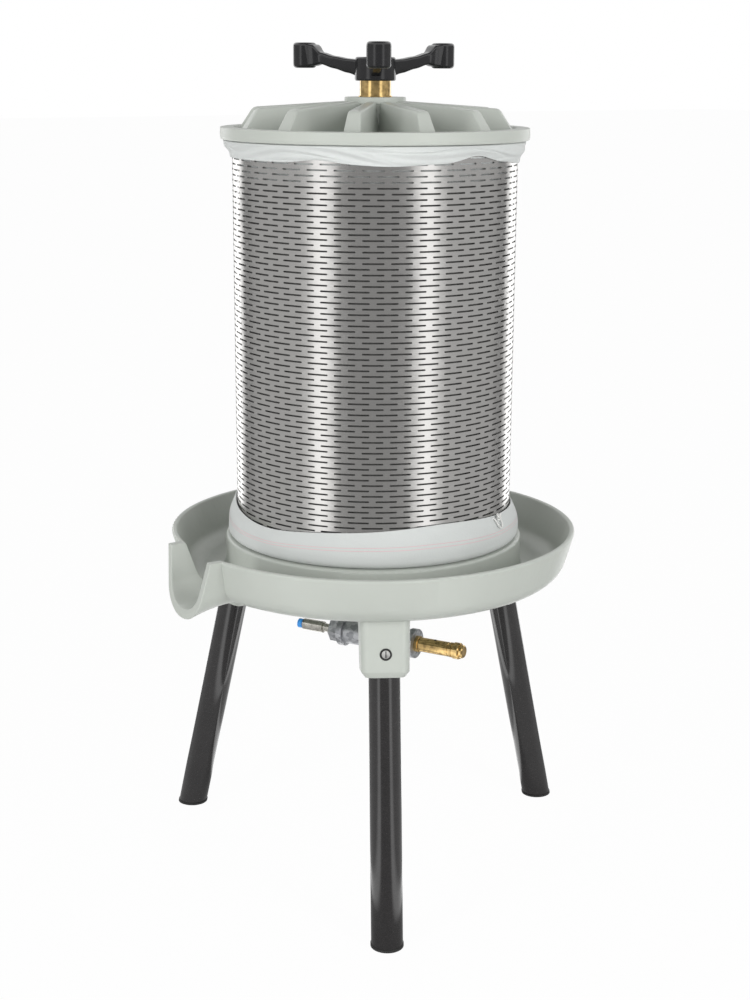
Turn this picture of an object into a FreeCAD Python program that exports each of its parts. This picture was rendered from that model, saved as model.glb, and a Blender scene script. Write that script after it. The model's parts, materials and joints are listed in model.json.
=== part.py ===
import FreeCAD, Part
import math
import os
import re

import Sketcher

# Pneumatic fruit press, in millimetres, +Z up, the floor at z = 0 and the spout towards -Y.
# A cast tray on three splayed tube legs carries a central tie rod with a rubber bladder on it.
# A slotted stainless basket with a press cloth stands round the bladder, and a ribbed lid is held
# down on it by a star handle nut. Compressed air enters through the hollow lower end of the rod.

SIZES = {
    # Legs
    "foot_circle": 286.0,
    "leg_splay": 13.13,
    "leg_radius": 19.2,
    "leg_wall": 2.0,
    "foot_plate": 3.0,
    "foot_lip": 0.8,
    "foot_plug": 22.0,
    "plug_clearance": 0.1,
    # Leg sockets cast under the tray
    "socket_half_top": 30.0,
    "socket_half_bottom": 28.8,
    "socket_drop": 72.9,
    "socket_corner": 11.0,
    "socket_bevel": 5.0,
    "socket_bevel_height": 7.0,
    "socket_clearance": 0.25,
    "socket_floor": 3.0,
    "socket_sink": 1.0,
    "cut_room": 1.0,
    "screw_drop": 44.7,
    "screw_radius": 5.5,
    "screw_head": 1.5,
    "socket_rib": 8.0,
    "rib_bite": 2.0,
    # Tray
    "tray_underside": 386.0,
    "tray_wall": 6.5,
    "rim_radius": 260.0,
    "rim_height": 61.0,
    "rim_edge": 7.0,
    "tray_lean": 17.5,
    "tray_corner": 32.0,
    "channel_corner": 25.0,
    "channel_foot": 6.5,
    "rim_round": 3.0,
    "seat_rise": 52.0,
    "seat_radius": 190.0,
    "seat_wall": 7.0,
    "hub_radius": 40.0,
    "hub_drop": 2.0,
    "rod_hole_clearance": 0.5,
    # Spout
    "spout_reach": 268.5,
    "spout_half_width": 55.2,
    "spout_wall": 9.5,
    "spout_floor": 12.0,
    "spout_edge": 1.5,
    "spout_draft": 14.0,
    "spout_lean": 12.2,
    "spout_corner": 44.0,
    "spout_root_corner": 20.0,
    "spout_drop": 20.0,
    "spout_root": 214.0,
    "spout_root_flare": 3.0,
    "spout_middle": 246.0,
    "spout_middle_drop": 6.0,
    "spout_channel_room": 4.0,
    # Basket and press cloth
    "basket_radius": 175.0,
    "basket_wall": 1.2,
    "basket_length": 491.5,
    "slot_length": 26.0,
    "slot_width": 2.6,
    "slot_columns": 20,
    "slot_rows": 8,
    "slot_pitch": 52.0,
    "slot_margin": 64.0,
    "cloth_thickness": 1.2,
    "cloth_gap": 0.4,
    "cloth_stand": 8.0,
    "cloth_lap": 8.0,
    "cloth_top_fold": 19.0,
    "cloth_bottom_fold": 42.0,
    "cloth_bulge": 4.5,
    "cloth_flare": 9.5,
    "cord_radius": 1.6,
    "cord_knot": 5.0,
    "cord_tail": 26.0,
    "cord_gap": 1.4,
    "cord_turn": 24.0,
    # Lid
    "lid_radius": 189.3,
    "lid_rim": 14.5,
    "lid_rim_width": 17.0,
    "lid_plate": 9.0,
    "lid_edge": 3.0,
    "lid_gap": 0.3,
    "boss_radius": 36.0,
    "boss_top": 50.0,
    "boss_foot": 4.0,
    "lid_turn": 17.2,
    "rib_count": 12,
    "rib_thickness": 17.0,
    "rib_draft": 4.0,
    "rib_root": 6.0,
    "rib_inner_drop": 5.0,
    "rib_outer_top": 37.0,
    "rib_shoulder": 151.0,
    "rib_foot": 168.0,
    "rib_round": 9.0,
    "spigot_radius": 169.5,
    "spigot_width": 10.0,
    "spigot_depth": 6.0,
    # Tie rod and its nut
    "rod_radius": 12.0,
    "rod_above_lid": 38.0,
    "rod_below_hub": 66.0,
    "air_bore": 5.0,
    "air_bore_length": 205.0,
    "running_clearance": 0.06,
    "bush_radius": 19.0,
    "bush_height": 17.5,
    "bush_neck_radius": 16.0,
    "bush_neck": 24.0,
    "bush_wall_room": 2.0,
    "washer_radius": 20.5,
    "washer_thickness": 1.5,
    "star_hub_radius": 24.2,
    "star_hub_height": 28.0,
    "star_arms": 3,
    "star_hub_round": 3.0,
    "star_turn": 88.5,
    "arm_root_half_width": 10.0,
    "arm_root_keel": 6.0,
    "arm_root_bottom": 3.5,
    "arm_root_top": 24.5,
    "arm_waist": 56.0,
    "arm_waist_half_width": 8.5,
    "arm_waist_keel": 5.5,
    "arm_waist_bottom": 13.5,
    "arm_waist_top": 28.8,
    "arm_tip_half_width": 9.0,
    "arm_tip_keel": 6.5,
    "arm_tip_bottom": 20.5,
    "arm_tip_top": 33.5,
    "arm_tip": 80.0,
    "arm_neck_half_width": 11.5,
    "arm_neck_keel": 9.0,
    "arm_neck_bottom": 18.0,
    "arm_neck_top": 42.5,
    "knob_reach": 102.5,
    "knob_radius": 14.0,
    "knob_height": 28.5,
    "knob_base": 16.6,
    "knob_edge": 4.5,
    # Bladder and what carries it
    "core_radius": 48.0,
    "core_wall": 2.0,
    "flange_radius": 66.0,
    "flange_thickness": 6.0,
    "collar_height": 26.0,
    "collar_wall": 5.0,
    "bladder_wall": 5.0,
    "bladder_fit": 0.1,
    "top_nut_height": 9.0,
    "top_nut_flats": 36.0,
    "top_room": 5.0,
    "band_width": 14.0,
    "band_thickness": 2.0,
    "band_inset": 5.0,
    "gasket_thickness": 2.0,
    "gasket_width": 8.0,
    "seal_section": 2.5,
    "washer_plate": 4.0,
    "washer_plate_radius": 28.0,
    "rod_nut_height": 20.0,
    "rod_nut_flats": 36.0,
    # Air fittings
    "run_drop": 94.0,
    "run_turn": 28.2,
    "tee_half_run": 46.0,
    "tee_radius": 15.5,
    "tee_bead": 19.2,
    "tee_bead_width": 8.0,
    "tee_port": 13.0,
    "tee_port_depth": 15.0,
    "tee_bore": 10.0,
    "tee_rise": 38.0,
    "nipple_flats": 30.0,
    "nipple_hex": 4.0,
    "nipple_thread": 12.0,
    "coupling_length": 15.0,
    "coupling_thread": 5.0,
    "coupling_radius": 17.5,
    "coupling_bead_width": 8.0,
    "bushing_flats": 27.0,
    "bushing_hex": 14.0,
    "neck_radius": 5.6,
    "neck_length": 14.0,
    "push_radius": 7.6,
    "push_length": 30.0,
    "hose_radius": 4.0,
    "hose_clearance": 0.1,
    "hose_depth": 18.0,
    "collar_radius": 6.2,
    "collar_length": 8.0,
    "collar_neck": 5.2,
    "collar_seat": 10.0,
    "collar_travel": 1.5,
    "collar_play": 0.3,
    "hose_stop": 1.0,
    "valve_radius": 9.4,
    "valve_length": 47.5,
    "valve_hex": 5.0,
    "valve_bore": 5.6,
    "valve_seat_bore": 3.0,
    "valve_seat_depth": 18.0,
    "valve_vent": 2.2,
    "valve_cap_radius": 10.8,
    "valve_cap_length": 10.5,
    "valve_cap_round": 1.2,
    "valve_nose_radius": 8.6,
    "valve_nose": 5.0,
    "valve_nose_round": 2.0,
    "spring_radius": 5.2,
    "spring_wire": 1.6,
    "poppet_length": 8.0,
    "poppet_travel": 1.5,
    "spring_play": 0.2,
    "thread_fit": 0.05,
}

DERIVED = {
    "tray_floor": "tray_underside + tray_wall",
    "seat_height": "tray_underside + seat_rise",
    "rim_top": "tray_underside + rim_height",
    "hub_bottom": "tray_underside - hub_drop",
    "rod_hole": "rod_radius + rod_hole_clearance",
    "cloth_bottom": "seat_height + cloth_gap",
    "basket_bottom": "cloth_bottom + cloth_thickness + cloth_gap",
    "basket_top": "basket_bottom + basket_length",
    "basket_inner": "basket_radius - basket_wall",
    "cloth_outer": "basket_inner - cloth_stand",
    "cloth_inner": "cloth_outer - cloth_thickness",
    "fold_inner": "basket_radius + cloth_gap",
    "fold_outer": "fold_inner + cloth_thickness",
    "cloth_top": "basket_top + cloth_gap + cloth_thickness",
    "lid_bottom": "cloth_top + lid_gap",
    "lid_boss_top": "lid_bottom + boss_top",
    "washer_top": "lid_boss_top + washer_thickness",
    "hub_base": "washer_top + bush_height",
    "rod_top": "lid_boss_top + rod_above_lid",
    "rod_bottom": "hub_bottom - rod_below_hub",
    "bore_in_nut": "rod_radius + running_clearance",
    "flange_bottom": "seat_height + gasket_thickness",
    "flange_top": "flange_bottom + flange_thickness",
    "core_bottom": "flange_top + collar_height",
    "top_nut_top": "lid_bottom - spigot_depth - top_room",
    "head_top": "top_nut_top - top_nut_height",
    "head_bottom": "head_top - flange_thickness",
    "core_top": "head_bottom - collar_height",
    "bladder_inner": "core_radius + bladder_fit",
    "bladder_outer": "bladder_inner + bladder_wall",
    "rod_nut_top": "hub_bottom - washer_plate",
    "run_height": "tray_underside - run_drop",
    "coupling_start": "tee_half_run + nipple_hex",
    "coupling_end": "coupling_start + coupling_length",
    "valve_start": "coupling_end + valve_hex",
    "valve_end": "valve_start + valve_length",
    "bushing_end": "tee_half_run + bushing_hex",
    "neck_end": "bushing_end + neck_length",
    "push_end": "neck_end + push_length",
    "socket_height": "tray_underside / cos(leg_splay * 1 deg)",
    "foot_reach": "foot_circle + (leg_radius + foot_lip) / cos(leg_splay * 1 deg)",
    "axis_shift": "(spout_reach + spout_lean - foot_reach) / 2",
}

NEAR = 0.01
KEPT_WORDS = ("cos", "sin", "tan", "sqrt", "deg", "min", "max")
LEG_TURNS = {"rear": 90.0, "front_left": 210.0, "front_right": 330.0}

doc = FreeCAD.newDocument("FruitPress")
sheet = doc.addObject("Spreadsheet::Sheet", "Sizes")
for row, (alias, number) in enumerate(SIZES.items(), start=1):
    sheet.set("A%d" % row, alias)
    sheet.set("B%d" % row, str(number))
    sheet.setAlias("B%d" % row, alias)
doc.recompute()

sub_parts = []


def bind(formula):
    """Writes a formula of size names as an expression on the sheet."""

    def name(match):
        word = match.group(0)
        if word in KEPT_WORDS:
            return word
        if word in DERIVED:
            return "(" + bind(DERIVED[word]) + ")"
        return "Sizes." + word

    return re.sub(r"[a-z_]+[a-z]", name, formula)


def value(formula):
    """The number that a formula of size names gives now."""
    return float(sheet.evalExpression(bind(formula)))


def base_plane(body, role):
    return [item for item in body.Origin.OriginFeatures if item.Role == role][0]


def new_body(name, turn=None, height=None):
    """A body whose origin lies on the press axis, turned about it and raised where asked."""
    body = doc.addObject("PartDesign::Body", name)
    body.Label = name
    body.setExpression("Placement.Base.y", bind("axis_shift"))
    if height:
        body.setExpression("Placement.Base.z", bind(height))
    if turn:
        body.setExpression("Placement.Rotation.Angle", bind(turn))
    sub_parts.append(body)
    return body


def tangent_corner(before, corner, after, radius):
    """Where an arc of that radius leaves and meets the two lines of a corner, and its centre."""
    into = (corner - before).normalize()
    out = (after - corner).normalize()
    turn = math.atan2(into.x * out.y - into.y * out.x, into * out)
    reach = abs(radius * math.tan(turn / 2.0))
    side = FreeCAD.Vector(-into.y, into.x, 0) * math.copysign(radius, turn)
    return corner - into * reach, corner + out * reach, corner - into * reach + side, turn


def draw_profile(sketch, corners):
    """A closed outline through corners (x formula, y formula, radius formula or nothing)."""
    points = [FreeCAD.Vector(value(x), value(y), 0) for x, y, *_ in corners]
    count = len(points)
    starts = []
    ends = []
    arcs = []
    for index, corner in enumerate(corners):
        before, here, after = points[index - 1], points[index], points[(index + 1) % count]
        if len(corner) == 3:
            meet, leave, centre, turn = tangent_corner(before, here, after, value(corner[2]))
            arcs.append((centre, meet, leave, turn))
        else:
            meet, leave = here, here
            arcs.append(None)
        ends.append(meet)
        starts.append(leave)
    lines = []
    for index in range(count):
        end = ends[(index + 1) % count]
        lines.append(sketch.addGeometry(Part.LineSegment(starts[index], end), False))
    for index, corner in enumerate(corners):
        mark = sketch.addGeometry(Part.Point(points[index]), True)
        pin(sketch, mark, 1, corner[0], corner[1])
        incoming, outgoing = lines[index - 1], lines[index]
        if arcs[index] is None:
            sketch.addConstraint(Sketcher.Constraint("Coincident", incoming, 2, mark, 1))
            sketch.addConstraint(Sketcher.Constraint("Coincident", outgoing, 1, mark, 1))
            continue
        sketch.addConstraint(Sketcher.Constraint("PointOnObject", mark, 1, incoming))
        sketch.addConstraint(Sketcher.Constraint("PointOnObject", mark, 1, outgoing))
        add_corner_arc(sketch, arcs[index], incoming, outgoing, corner[2])


def pin(sketch, geometry, spot, across, up):
    """Holds a point, or a circle's centre (spot 3), at its two distances from the origin."""
    for kind, axis, formula in (("DistanceX", -2, across), ("DistanceY", -1, up)):
        if formula == "0":
            held = Sketcher.Constraint("PointOnObject", geometry, spot, axis)
            sketch.addConstraint(held)
            continue
        distance = Sketcher.Constraint(kind, -1, 1, geometry, spot, value(formula))
        index = sketch.addConstraint(distance)
        sketch.setExpression("Constraints[%d]" % index, bind(formula))


def add_corner_arc(sketch, arc, incoming, outgoing, radius):
    """The arc of a rounded corner, tangent to the line before it and the line after it."""
    centre, meet, leave, turn = arc
    first, last = (meet, leave) if turn > 0 else (leave, meet)
    angles = [math.atan2(spot.y - centre.y, spot.x - centre.x) for spot in (first, last)]
    circle = Part.Circle(centre, FreeCAD.Vector(0, 0, 1), value(radius))
    curve = sketch.addGeometry(Part.ArcOfCircle(circle, angles[0], angles[1]), False)
    meets, leaves = (1, 2) if turn > 0 else (2, 1)
    sketch.addConstraint(Sketcher.Constraint("Tangent", incoming, 2, curve, meets))
    sketch.addConstraint(Sketcher.Constraint("Tangent", outgoing, 1, curve, leaves))
    index = sketch.addConstraint(Sketcher.Constraint("Radius", curve, value(radius)))
    sketch.setExpression("Constraints[%d]" % index, bind(radius))


def new_sketch(body, role="XZ_Plane", **offsets):
    """A sketch on one of the body's own planes, moved or turned in it by named sizes."""
    sketch = body.newObject("Sketcher::SketchObject", body.Name + "_sketch")
    sketch.AttachmentSupport = [(base_plane(body, role), "")]
    sketch.MapMode = "FlatFace"
    for place, formula in offsets.items():
        if place in ("lean", "tilt"):
            if place == "tilt":
                sketch.setExpression("AttachmentOffset.Rotation.Axis.x", "1")
                sketch.setExpression("AttachmentOffset.Rotation.Axis.z", "0")
            sketch.setExpression("AttachmentOffset.Rotation.Angle", bind(formula + " * 1 deg"))
        else:
            sketch.setExpression("AttachmentOffset.Base." + place, bind(formula))
    return sketch


def outline(body, corners, role="XZ_Plane", **offsets):
    sketch = new_sketch(body, role, **offsets)
    draw_profile(sketch, corners)
    return sketch


def circles(body, radii, role="XY_Plane", centre=("0", "0"), **offsets):
    """A sketch of circles about its origin, or about one named centre."""
    sketch = new_sketch(body, role, **offsets)
    spot = FreeCAD.Vector(value(centre[0]), value(centre[1]), 0)
    for radius in radii:
        circle = Part.Circle(spot, FreeCAD.Vector(0, 0, 1), value(radius))
        curve = sketch.addGeometry(circle, False)
        pin(sketch, curve, 3, *centre)
        index = sketch.addConstraint(Sketcher.Constraint("Radius", curve, value(radius)))
        sketch.setExpression("Constraints[%d]" % index, bind(radius))
    return sketch


def feature(body, kind, sketch, **settings):
    """A sketched feature. A setting written as a formula of size names is bound to the sheet."""
    item = body.newObject("PartDesign::" + kind, body.Name + "_" + kind.lower())
    item.Profile = sketch
    for key, setting in settings.items():
        if isinstance(setting, str) and key not in ("SideType", "Type"):
            item.setExpression(key, bind(setting))
        else:
            setattr(item, key, setting)
    body.Tip = item
    return item


def revolve(body, sketch, axis="V_Axis", kind="Revolution"):
    return feature(body, kind, sketch, ReferenceAxis=(sketch, [axis]), Angle=360.0)


def polar(body, originals, count, role="Z_Axis"):
    pattern = body.newObject("PartDesign::PolarPattern", body.Name + "_pattern")
    pattern.Originals = originals
    pattern.Axis = (base_plane(body, role), [""])
    pattern.Angle = 360.0
    if isinstance(count, int):
        pattern.Occurrences = count
    else:
        pattern.setExpression("Occurrences", bind(count))
    body.Tip = pattern
    return pattern


def turned(name, corners, turn=None, height=None, axis="V_Axis"):
    """A turned piece: one outline revolved about the press axis, or about the pipe run."""
    body = new_body(name, turn, height)
    revolve(body, outline(body, corners), axis)
    return body


def ring_corners(inner, outer, low, high):
    return [(inner, low), (outer, low), (outer, high), (inner, high)]


def along_run(name, corners):
    """A turned piece on the level pipe run under the tray: x along the run, y its radius."""
    return turned(name, corners, "run_turn", "run_height", "H_Axis")


# Legs and feet


def floor_cut(body, height):
    """Cuts a leaning piece level with the floor, at that height above it."""
    span = "4 * leg_radius"
    low = "-3 * leg_radius"
    corners = [
        ("foot_circle - " + span, low),
        ("foot_circle + " + span, low),
        ("foot_circle + " + span, height),
        ("foot_circle - " + span, height),
    ]
    feature(body, "Pocket", outline(body, corners), Type=1, Midplane=True)


def leaning_ring(body, inner, outer, low, high):
    """A straight piece on the leg's axis, given by its radii and lengths from the floor."""
    if inner == "0":
        corners = [("0", low), (outer, low), (outer, high), ("0", high)]
    else:
        corners = ring_corners(inner, outer, low, high)
    return revolve(body, outline(body, corners, x="foot_circle", lean="leg_splay"))


def make_leg(name, turn):
    body = new_body(name, turn)
    top = "socket_height - socket_floor"
    leaning_ring(body, "leg_radius - leg_wall", "leg_radius", "-leg_radius", top)
    floor_cut(body, "foot_plate")


def make_foot_cap(name, turn):
    """A plug in the tube's end with a plate that the leg stands on."""
    body = new_body(name, turn)
    leaning_ring(body, "0", "leg_radius + foot_lip", "-leg_radius", "2 * leg_radius")
    corners = ring_corners("foot_circle - 4 * leg_radius", "foot_circle + 4 * leg_radius",
                           "foot_plate", "4 * leg_radius")
    feature(body, "Pocket", outline(body, corners), Type=1, Midplane=True)
    plug = "leg_radius - leg_wall - plug_clearance"
    leaning_ring(body, "0", plug, "-leg_radius", "foot_plug")
    corners = ring_corners("foot_circle - 4 * leg_radius", "foot_circle + 4 * leg_radius",
                           "-2 * leg_radius", "0")
    feature(body, "Pocket", outline(body, corners), Type=1, Midplane=True)


def make_legs():
    for place, turn in LEG_TURNS.items():
        make_leg(place + "_leg", str(turn))
        make_foot_cap(place + "_foot_cap", str(turn))


def screw_line():
    """The screw's axis in the leg's leaning plane, as a length up the leg from the floor."""
    return "socket_height - screw_drop"


def make_leg_set_screws():
    """One slotted set screw in each socket, bearing on its leg. One node of three solids."""
    body = new_body("leg_set_screws")
    depth = "(socket_half_top + socket_half_bottom) / 2 + screw_head"
    radius = "screw_radius - thread_fit"
    corners = [
        ("leg_radius + thread_fit", screw_line()),
        (depth, screw_line()),
        (depth, screw_line() + " + " + radius),
        ("leg_radius + thread_fit", screw_line() + " + " + radius),
    ]
    sketch = new_sketch(body, "YZ_Plane", x="foot_circle", lean="leg_splay")
    draw_profile(sketch, corners)
    screw = feature(body, "Revolution", sketch, ReferenceAxis=(sketch, ["Edge1"]), Angle=360.0)
    screw.AllowMultiFace = True
    polar(body, [screw], len(LEG_TURNS))


# Tray


LEAN_FOOT = "rim_radius - tray_lean"


def tray_outline():
    """The casting before its inside is turned out: a deep dish with a rounded foot."""
    return [
        ("rod_hole", "hub_bottom"),
        ("hub_radius", "hub_bottom"),
        ("hub_radius", "seat_height - seat_wall"),
        ("seat_radius - seat_wall", "seat_height - seat_wall"),
        ("seat_radius - seat_wall", "tray_underside"),
        (LEAN_FOOT, "tray_underside", "tray_corner"),
        ("rim_radius", "rim_top", "rim_round"),
        ("rod_hole", "rim_top"),
    ]


def channel_outline():
    """What is turned out of the casting: the room over the seat and the juice channel."""
    return [
        ("0", "seat_height"),
        ("seat_radius", "seat_height", "cloth_gap + seat_wall / 2"),
        ("seat_radius", "tray_floor", "channel_foot"),
        (LEAN_FOOT + " - tray_wall", "tray_floor", "channel_corner"),
        ("rim_radius - rim_edge", "rim_top", "rim_round"),
        ("rim_radius + cut_room", "rim_top"),
        ("rim_radius + cut_room", "rim_top + cut_room"),
        ("0", "rim_top + cut_room"),
    ]


def spout_section(body, reach, half_width, low, high, corner):
    """An upright section across the spout, whose sides draw in towards its floor."""
    wide = half_width + " + (%s - rim_top) * tan(spout_draft * 1 deg)" % high
    narrow = half_width + " + (%s - rim_top) * tan(spout_draft * 1 deg)" % low
    corners = [
        ("-(" + wide + ")", high),
        ("-(" + narrow + ")", low, corner),
        (narrow, low, corner),
        (wide, high),
    ]
    return outline(body, corners, z=reach)


def spout_sections(body, wall, floors, root, mouth, high):
    """The three sections that the spout's outside, or the channel in it, is lofted through."""
    trim = " - " + wall
    return [
        spout_section(body, root, "spout_half_width + spout_root_flare" + trim,
                      "tray_underside + " + floors[0], high, "spout_root_corner"),
        spout_section(body, "spout_middle", "spout_half_width" + trim,
                      "tray_underside - spout_middle_drop + " + floors[1], high,
                      "(spout_root_corner + spout_corner" + trim + ") / 2"),
        spout_section(body, mouth, "spout_half_width" + trim,
                      "tray_underside - spout_drop + " + floors[2], high, "spout_corner" + trim),
    ]


def add_spout(body):
    """The outside of a trough that runs through the tray's wall, with a lip that leans out."""
    lip = "spout_reach + spout_lean"
    outside = spout_sections(body, "0", ("0", "0", "0"), "spout_root", lip, "rim_top")
    feature(body, "AdditiveLoft", outside[0], Sections=outside[1:], Ruled=False)
    low = "tray_underside - spout_drop"
    corners = [
        ("-spout_reach", "rim_top"),
        ("-spout_reach", "rim_top + cut_room"),
        ("-(" + lip + " + cut_room)", "rim_top + cut_room"),
        ("-(" + lip + " + cut_room)", low),
        ("-(" + lip + ")", low),
    ]
    feature(body, "Pocket", outline(body, corners, "YZ_Plane"), Length="2 * rim_radius",
            Midplane=True)


def cut_channels(body):
    """Turns out the tray's inside, then runs the spout's channel through its wall."""
    revolve(body, outline(body, channel_outline()), kind="Groove")
    floors = ("tray_wall", "(tray_wall + spout_floor) / 2", "spout_floor")
    channel = spout_sections(body, "spout_wall", floors, "seat_radius + spout_channel_room",
                             "spout_reach + spout_lean + cut_room", "rim_top + tray_wall")
    feature(body, "SubtractiveLoft", channel[0], Sections=channel[1:], Ruled=False)
    mouth = value("-spout_reach")
    round_edges(body, "spout_edge", lambda box: box.YMax < mouth + NEAR)


def round_edges(body, radius, chosen):
    """A fillet on the edges of the body whose bounding boxes are chosen."""
    doc.recompute()
    whole = body.Tip
    names = [
        "Edge%d" % number
        for number, edge in enumerate(whole.Shape.Edges, start=1)
        if chosen(edge.BoundBox)
    ]
    fillet = body.newObject("PartDesign::Fillet", body.Name + "_fillet")
    fillet.Base = (whole, names)
    fillet.setExpression("Radius", bind(radius))
    body.Tip = fillet


def across_leg(body, length, half):
    """A square section with rounded corners, square to the rear leg at that length up it."""
    lean = "(leg_splay * 1 deg)"
    sketch = new_sketch(body, "XY_Plane", y="foot_circle - (%s) * sin%s" % (length, lean),
                        z="(%s) * cos%s" % (length, lean), tilt="leg_splay")
    low, corner = "-(" + half + ")", "socket_corner"
    draw_profile(sketch, [(low, low, corner), (half, low, corner), (half, half, corner),
                          (low, half, corner)])
    return sketch


def add_sockets(body):
    """Three tapered blocks leaning with the legs, and a rib from each to the centre hub."""
    low = "socket_height - socket_drop"
    blocks = [
        across_leg(body, low, "socket_half_bottom - socket_bevel"),
        across_leg(body, low + " + socket_bevel_height", "socket_half_bottom"),
        across_leg(body, "socket_height - socket_sink", "socket_half_top"),
    ]
    socket = feature(body, "AdditiveLoft", blocks[0], Sections=blocks[1:], Ruled=True)
    polar(body, [socket], len(LEG_TURNS))
    rib_corners = ring_corners("hub_radius - rib_bite", "seat_radius - seat_wall + rib_bite",
                               "tray_underside", "seat_height - seat_wall + rib_bite")
    rib = feature(body, "Pad", outline(body, rib_corners, "YZ_Plane"), Length="socket_rib",
                  Midplane=True)
    polar(body, [rib], len(LEG_TURNS))
    bore = "leg_radius + socket_clearance"
    end = "socket_height - socket_floor + socket_clearance"
    mouth = low + " - cut_room"
    corners = [("0", mouth), (bore, mouth), (bore, end), ("0", end)]
    sketch = outline(body, corners, "YZ_Plane", x="foot_circle", lean="leg_splay")
    groove = revolve(body, sketch, kind="Groove")
    polar(body, [groove], len(LEG_TURNS))
    level = screw_line()
    corners = [
        ("leg_radius", level),
        ("2 * leg_radius", level),
        ("2 * leg_radius", level + " + screw_radius"),
        ("leg_radius", level + " + screw_radius"),
    ]
    sketch = outline(body, corners, "YZ_Plane", x="foot_circle", lean="leg_splay")
    tapped = feature(body, "Groove", sketch, ReferenceAxis=(sketch, ["Edge1"]), Angle=360.0)
    polar(body, [tapped], len(LEG_TURNS))


def make_tray():
    body = new_body("tray")
    revolve(body, outline(body, tray_outline()))
    add_sockets(body)
    add_spout(body)
    cut_channels(body)


# Basket, cloth and lid


def slot_cutters():
    """Every slot of the basket as one shape. Each second row is turned by half a pitch."""
    columns = int(value("slot_columns"))
    rows = int(value("slot_rows"))
    length = value("slot_length")
    width = value("slot_width")
    inside = value("basket_inner - basket_wall")
    depth = value("basket_radius + basket_wall") - inside
    cutters = []
    for row in range(rows):
        level = value("slot_margin + slot_pitch * %d" % row)
        for column in range(columns):
            cutter = Part.makeBox(depth, length, width)
            cutter.translate(FreeCAD.Vector(inside, -length / 2, level - width / 2))
            turn = (column + row % 2 / 2) * 360 / columns
            cutter.rotate(FreeCAD.Vector(0, 0, 0), FreeCAD.Vector(0, 0, 1), turn)
            cutters.append(cutter)
    return Part.makeCompound(cutters)


def make_basket():
    """The slotted stainless sleeve."""
    height = value("basket_length")
    sleeve = Part.makeCylinder(value("basket_radius"), height)
    sleeve = sleeve.cut(Part.makeCylinder(value("basket_inner"), height))
    basket = doc.addObject("Part::Feature", "basket")
    basket.Label = "basket"
    basket.Shape = sleeve.cut(slot_cutters())
    basket.setExpression("Placement.Base.y", bind("axis_shift"))
    basket.setExpression("Placement.Base.z", bind("basket_bottom"))
    sub_parts.append(basket)


def make_press_cloth():
    """A cloth sleeve that hangs clear of the basket's wall and folds out over both its edges."""
    hem = "basket_top - cloth_top_fold"
    neck = "basket_inner - cloth_gap"
    pinched = "lid_bottom - spigot_depth - cloth_lap"
    hangs = pinched + " - 2 * cloth_stand"
    corners = [
        ("cloth_inner", "cloth_bottom"),
        ("cloth_inner", hangs),
        (neck + " - cloth_thickness", pinched),
        (neck + " - cloth_thickness", "cloth_top"),
        ("fold_outer + cloth_bulge", "cloth_top", "cloth_thickness"),
        ("fold_outer", hem),
        ("fold_inner", hem),
        ("fold_inner", "basket_top + cloth_gap"),
        (neck, "basket_top + cloth_gap"),
        (neck, pinched),
        ("cloth_outer", hangs),
        ("cloth_outer", "basket_bottom - cloth_gap"),
        ("fold_inner", "basket_bottom - cloth_gap"),
        ("fold_inner", "basket_bottom + cloth_bottom_fold"),
        ("fold_outer", "basket_bottom + cloth_bottom_fold"),
        ("fold_outer + cloth_flare", "cloth_bottom"),
    ]
    turned("press_cloth", corners)


def make_drawstring():
    """The knot of the cord that ties the cloth's lower hem, and the cord's end beside it."""
    body = new_body("drawstring", "cord_turn")
    across = "fold_outer + cord_gap"
    level = "basket_bottom + cloth_bottom_fold"
    knot = [
        (across, level + " - cord_knot"),
        (across + " + cord_knot * 2", level + " - cord_knot", "cord_knot - cord_gap / 2"),
        (across + " + cord_knot * 2", level + " + cord_knot", "cord_knot - cord_gap / 2"),
        (across, level + " + cord_knot"),
    ]
    feature(body, "Pad", outline(body, knot), Length="cord_knot * 2", Midplane=True)
    tail = ring_corners(across, across + " + cord_radius * 2", level, level + " + cord_tail")
    feature(body, "Pad", outline(body, tail), Length="cord_radius * 2", Midplane=True)


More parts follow.
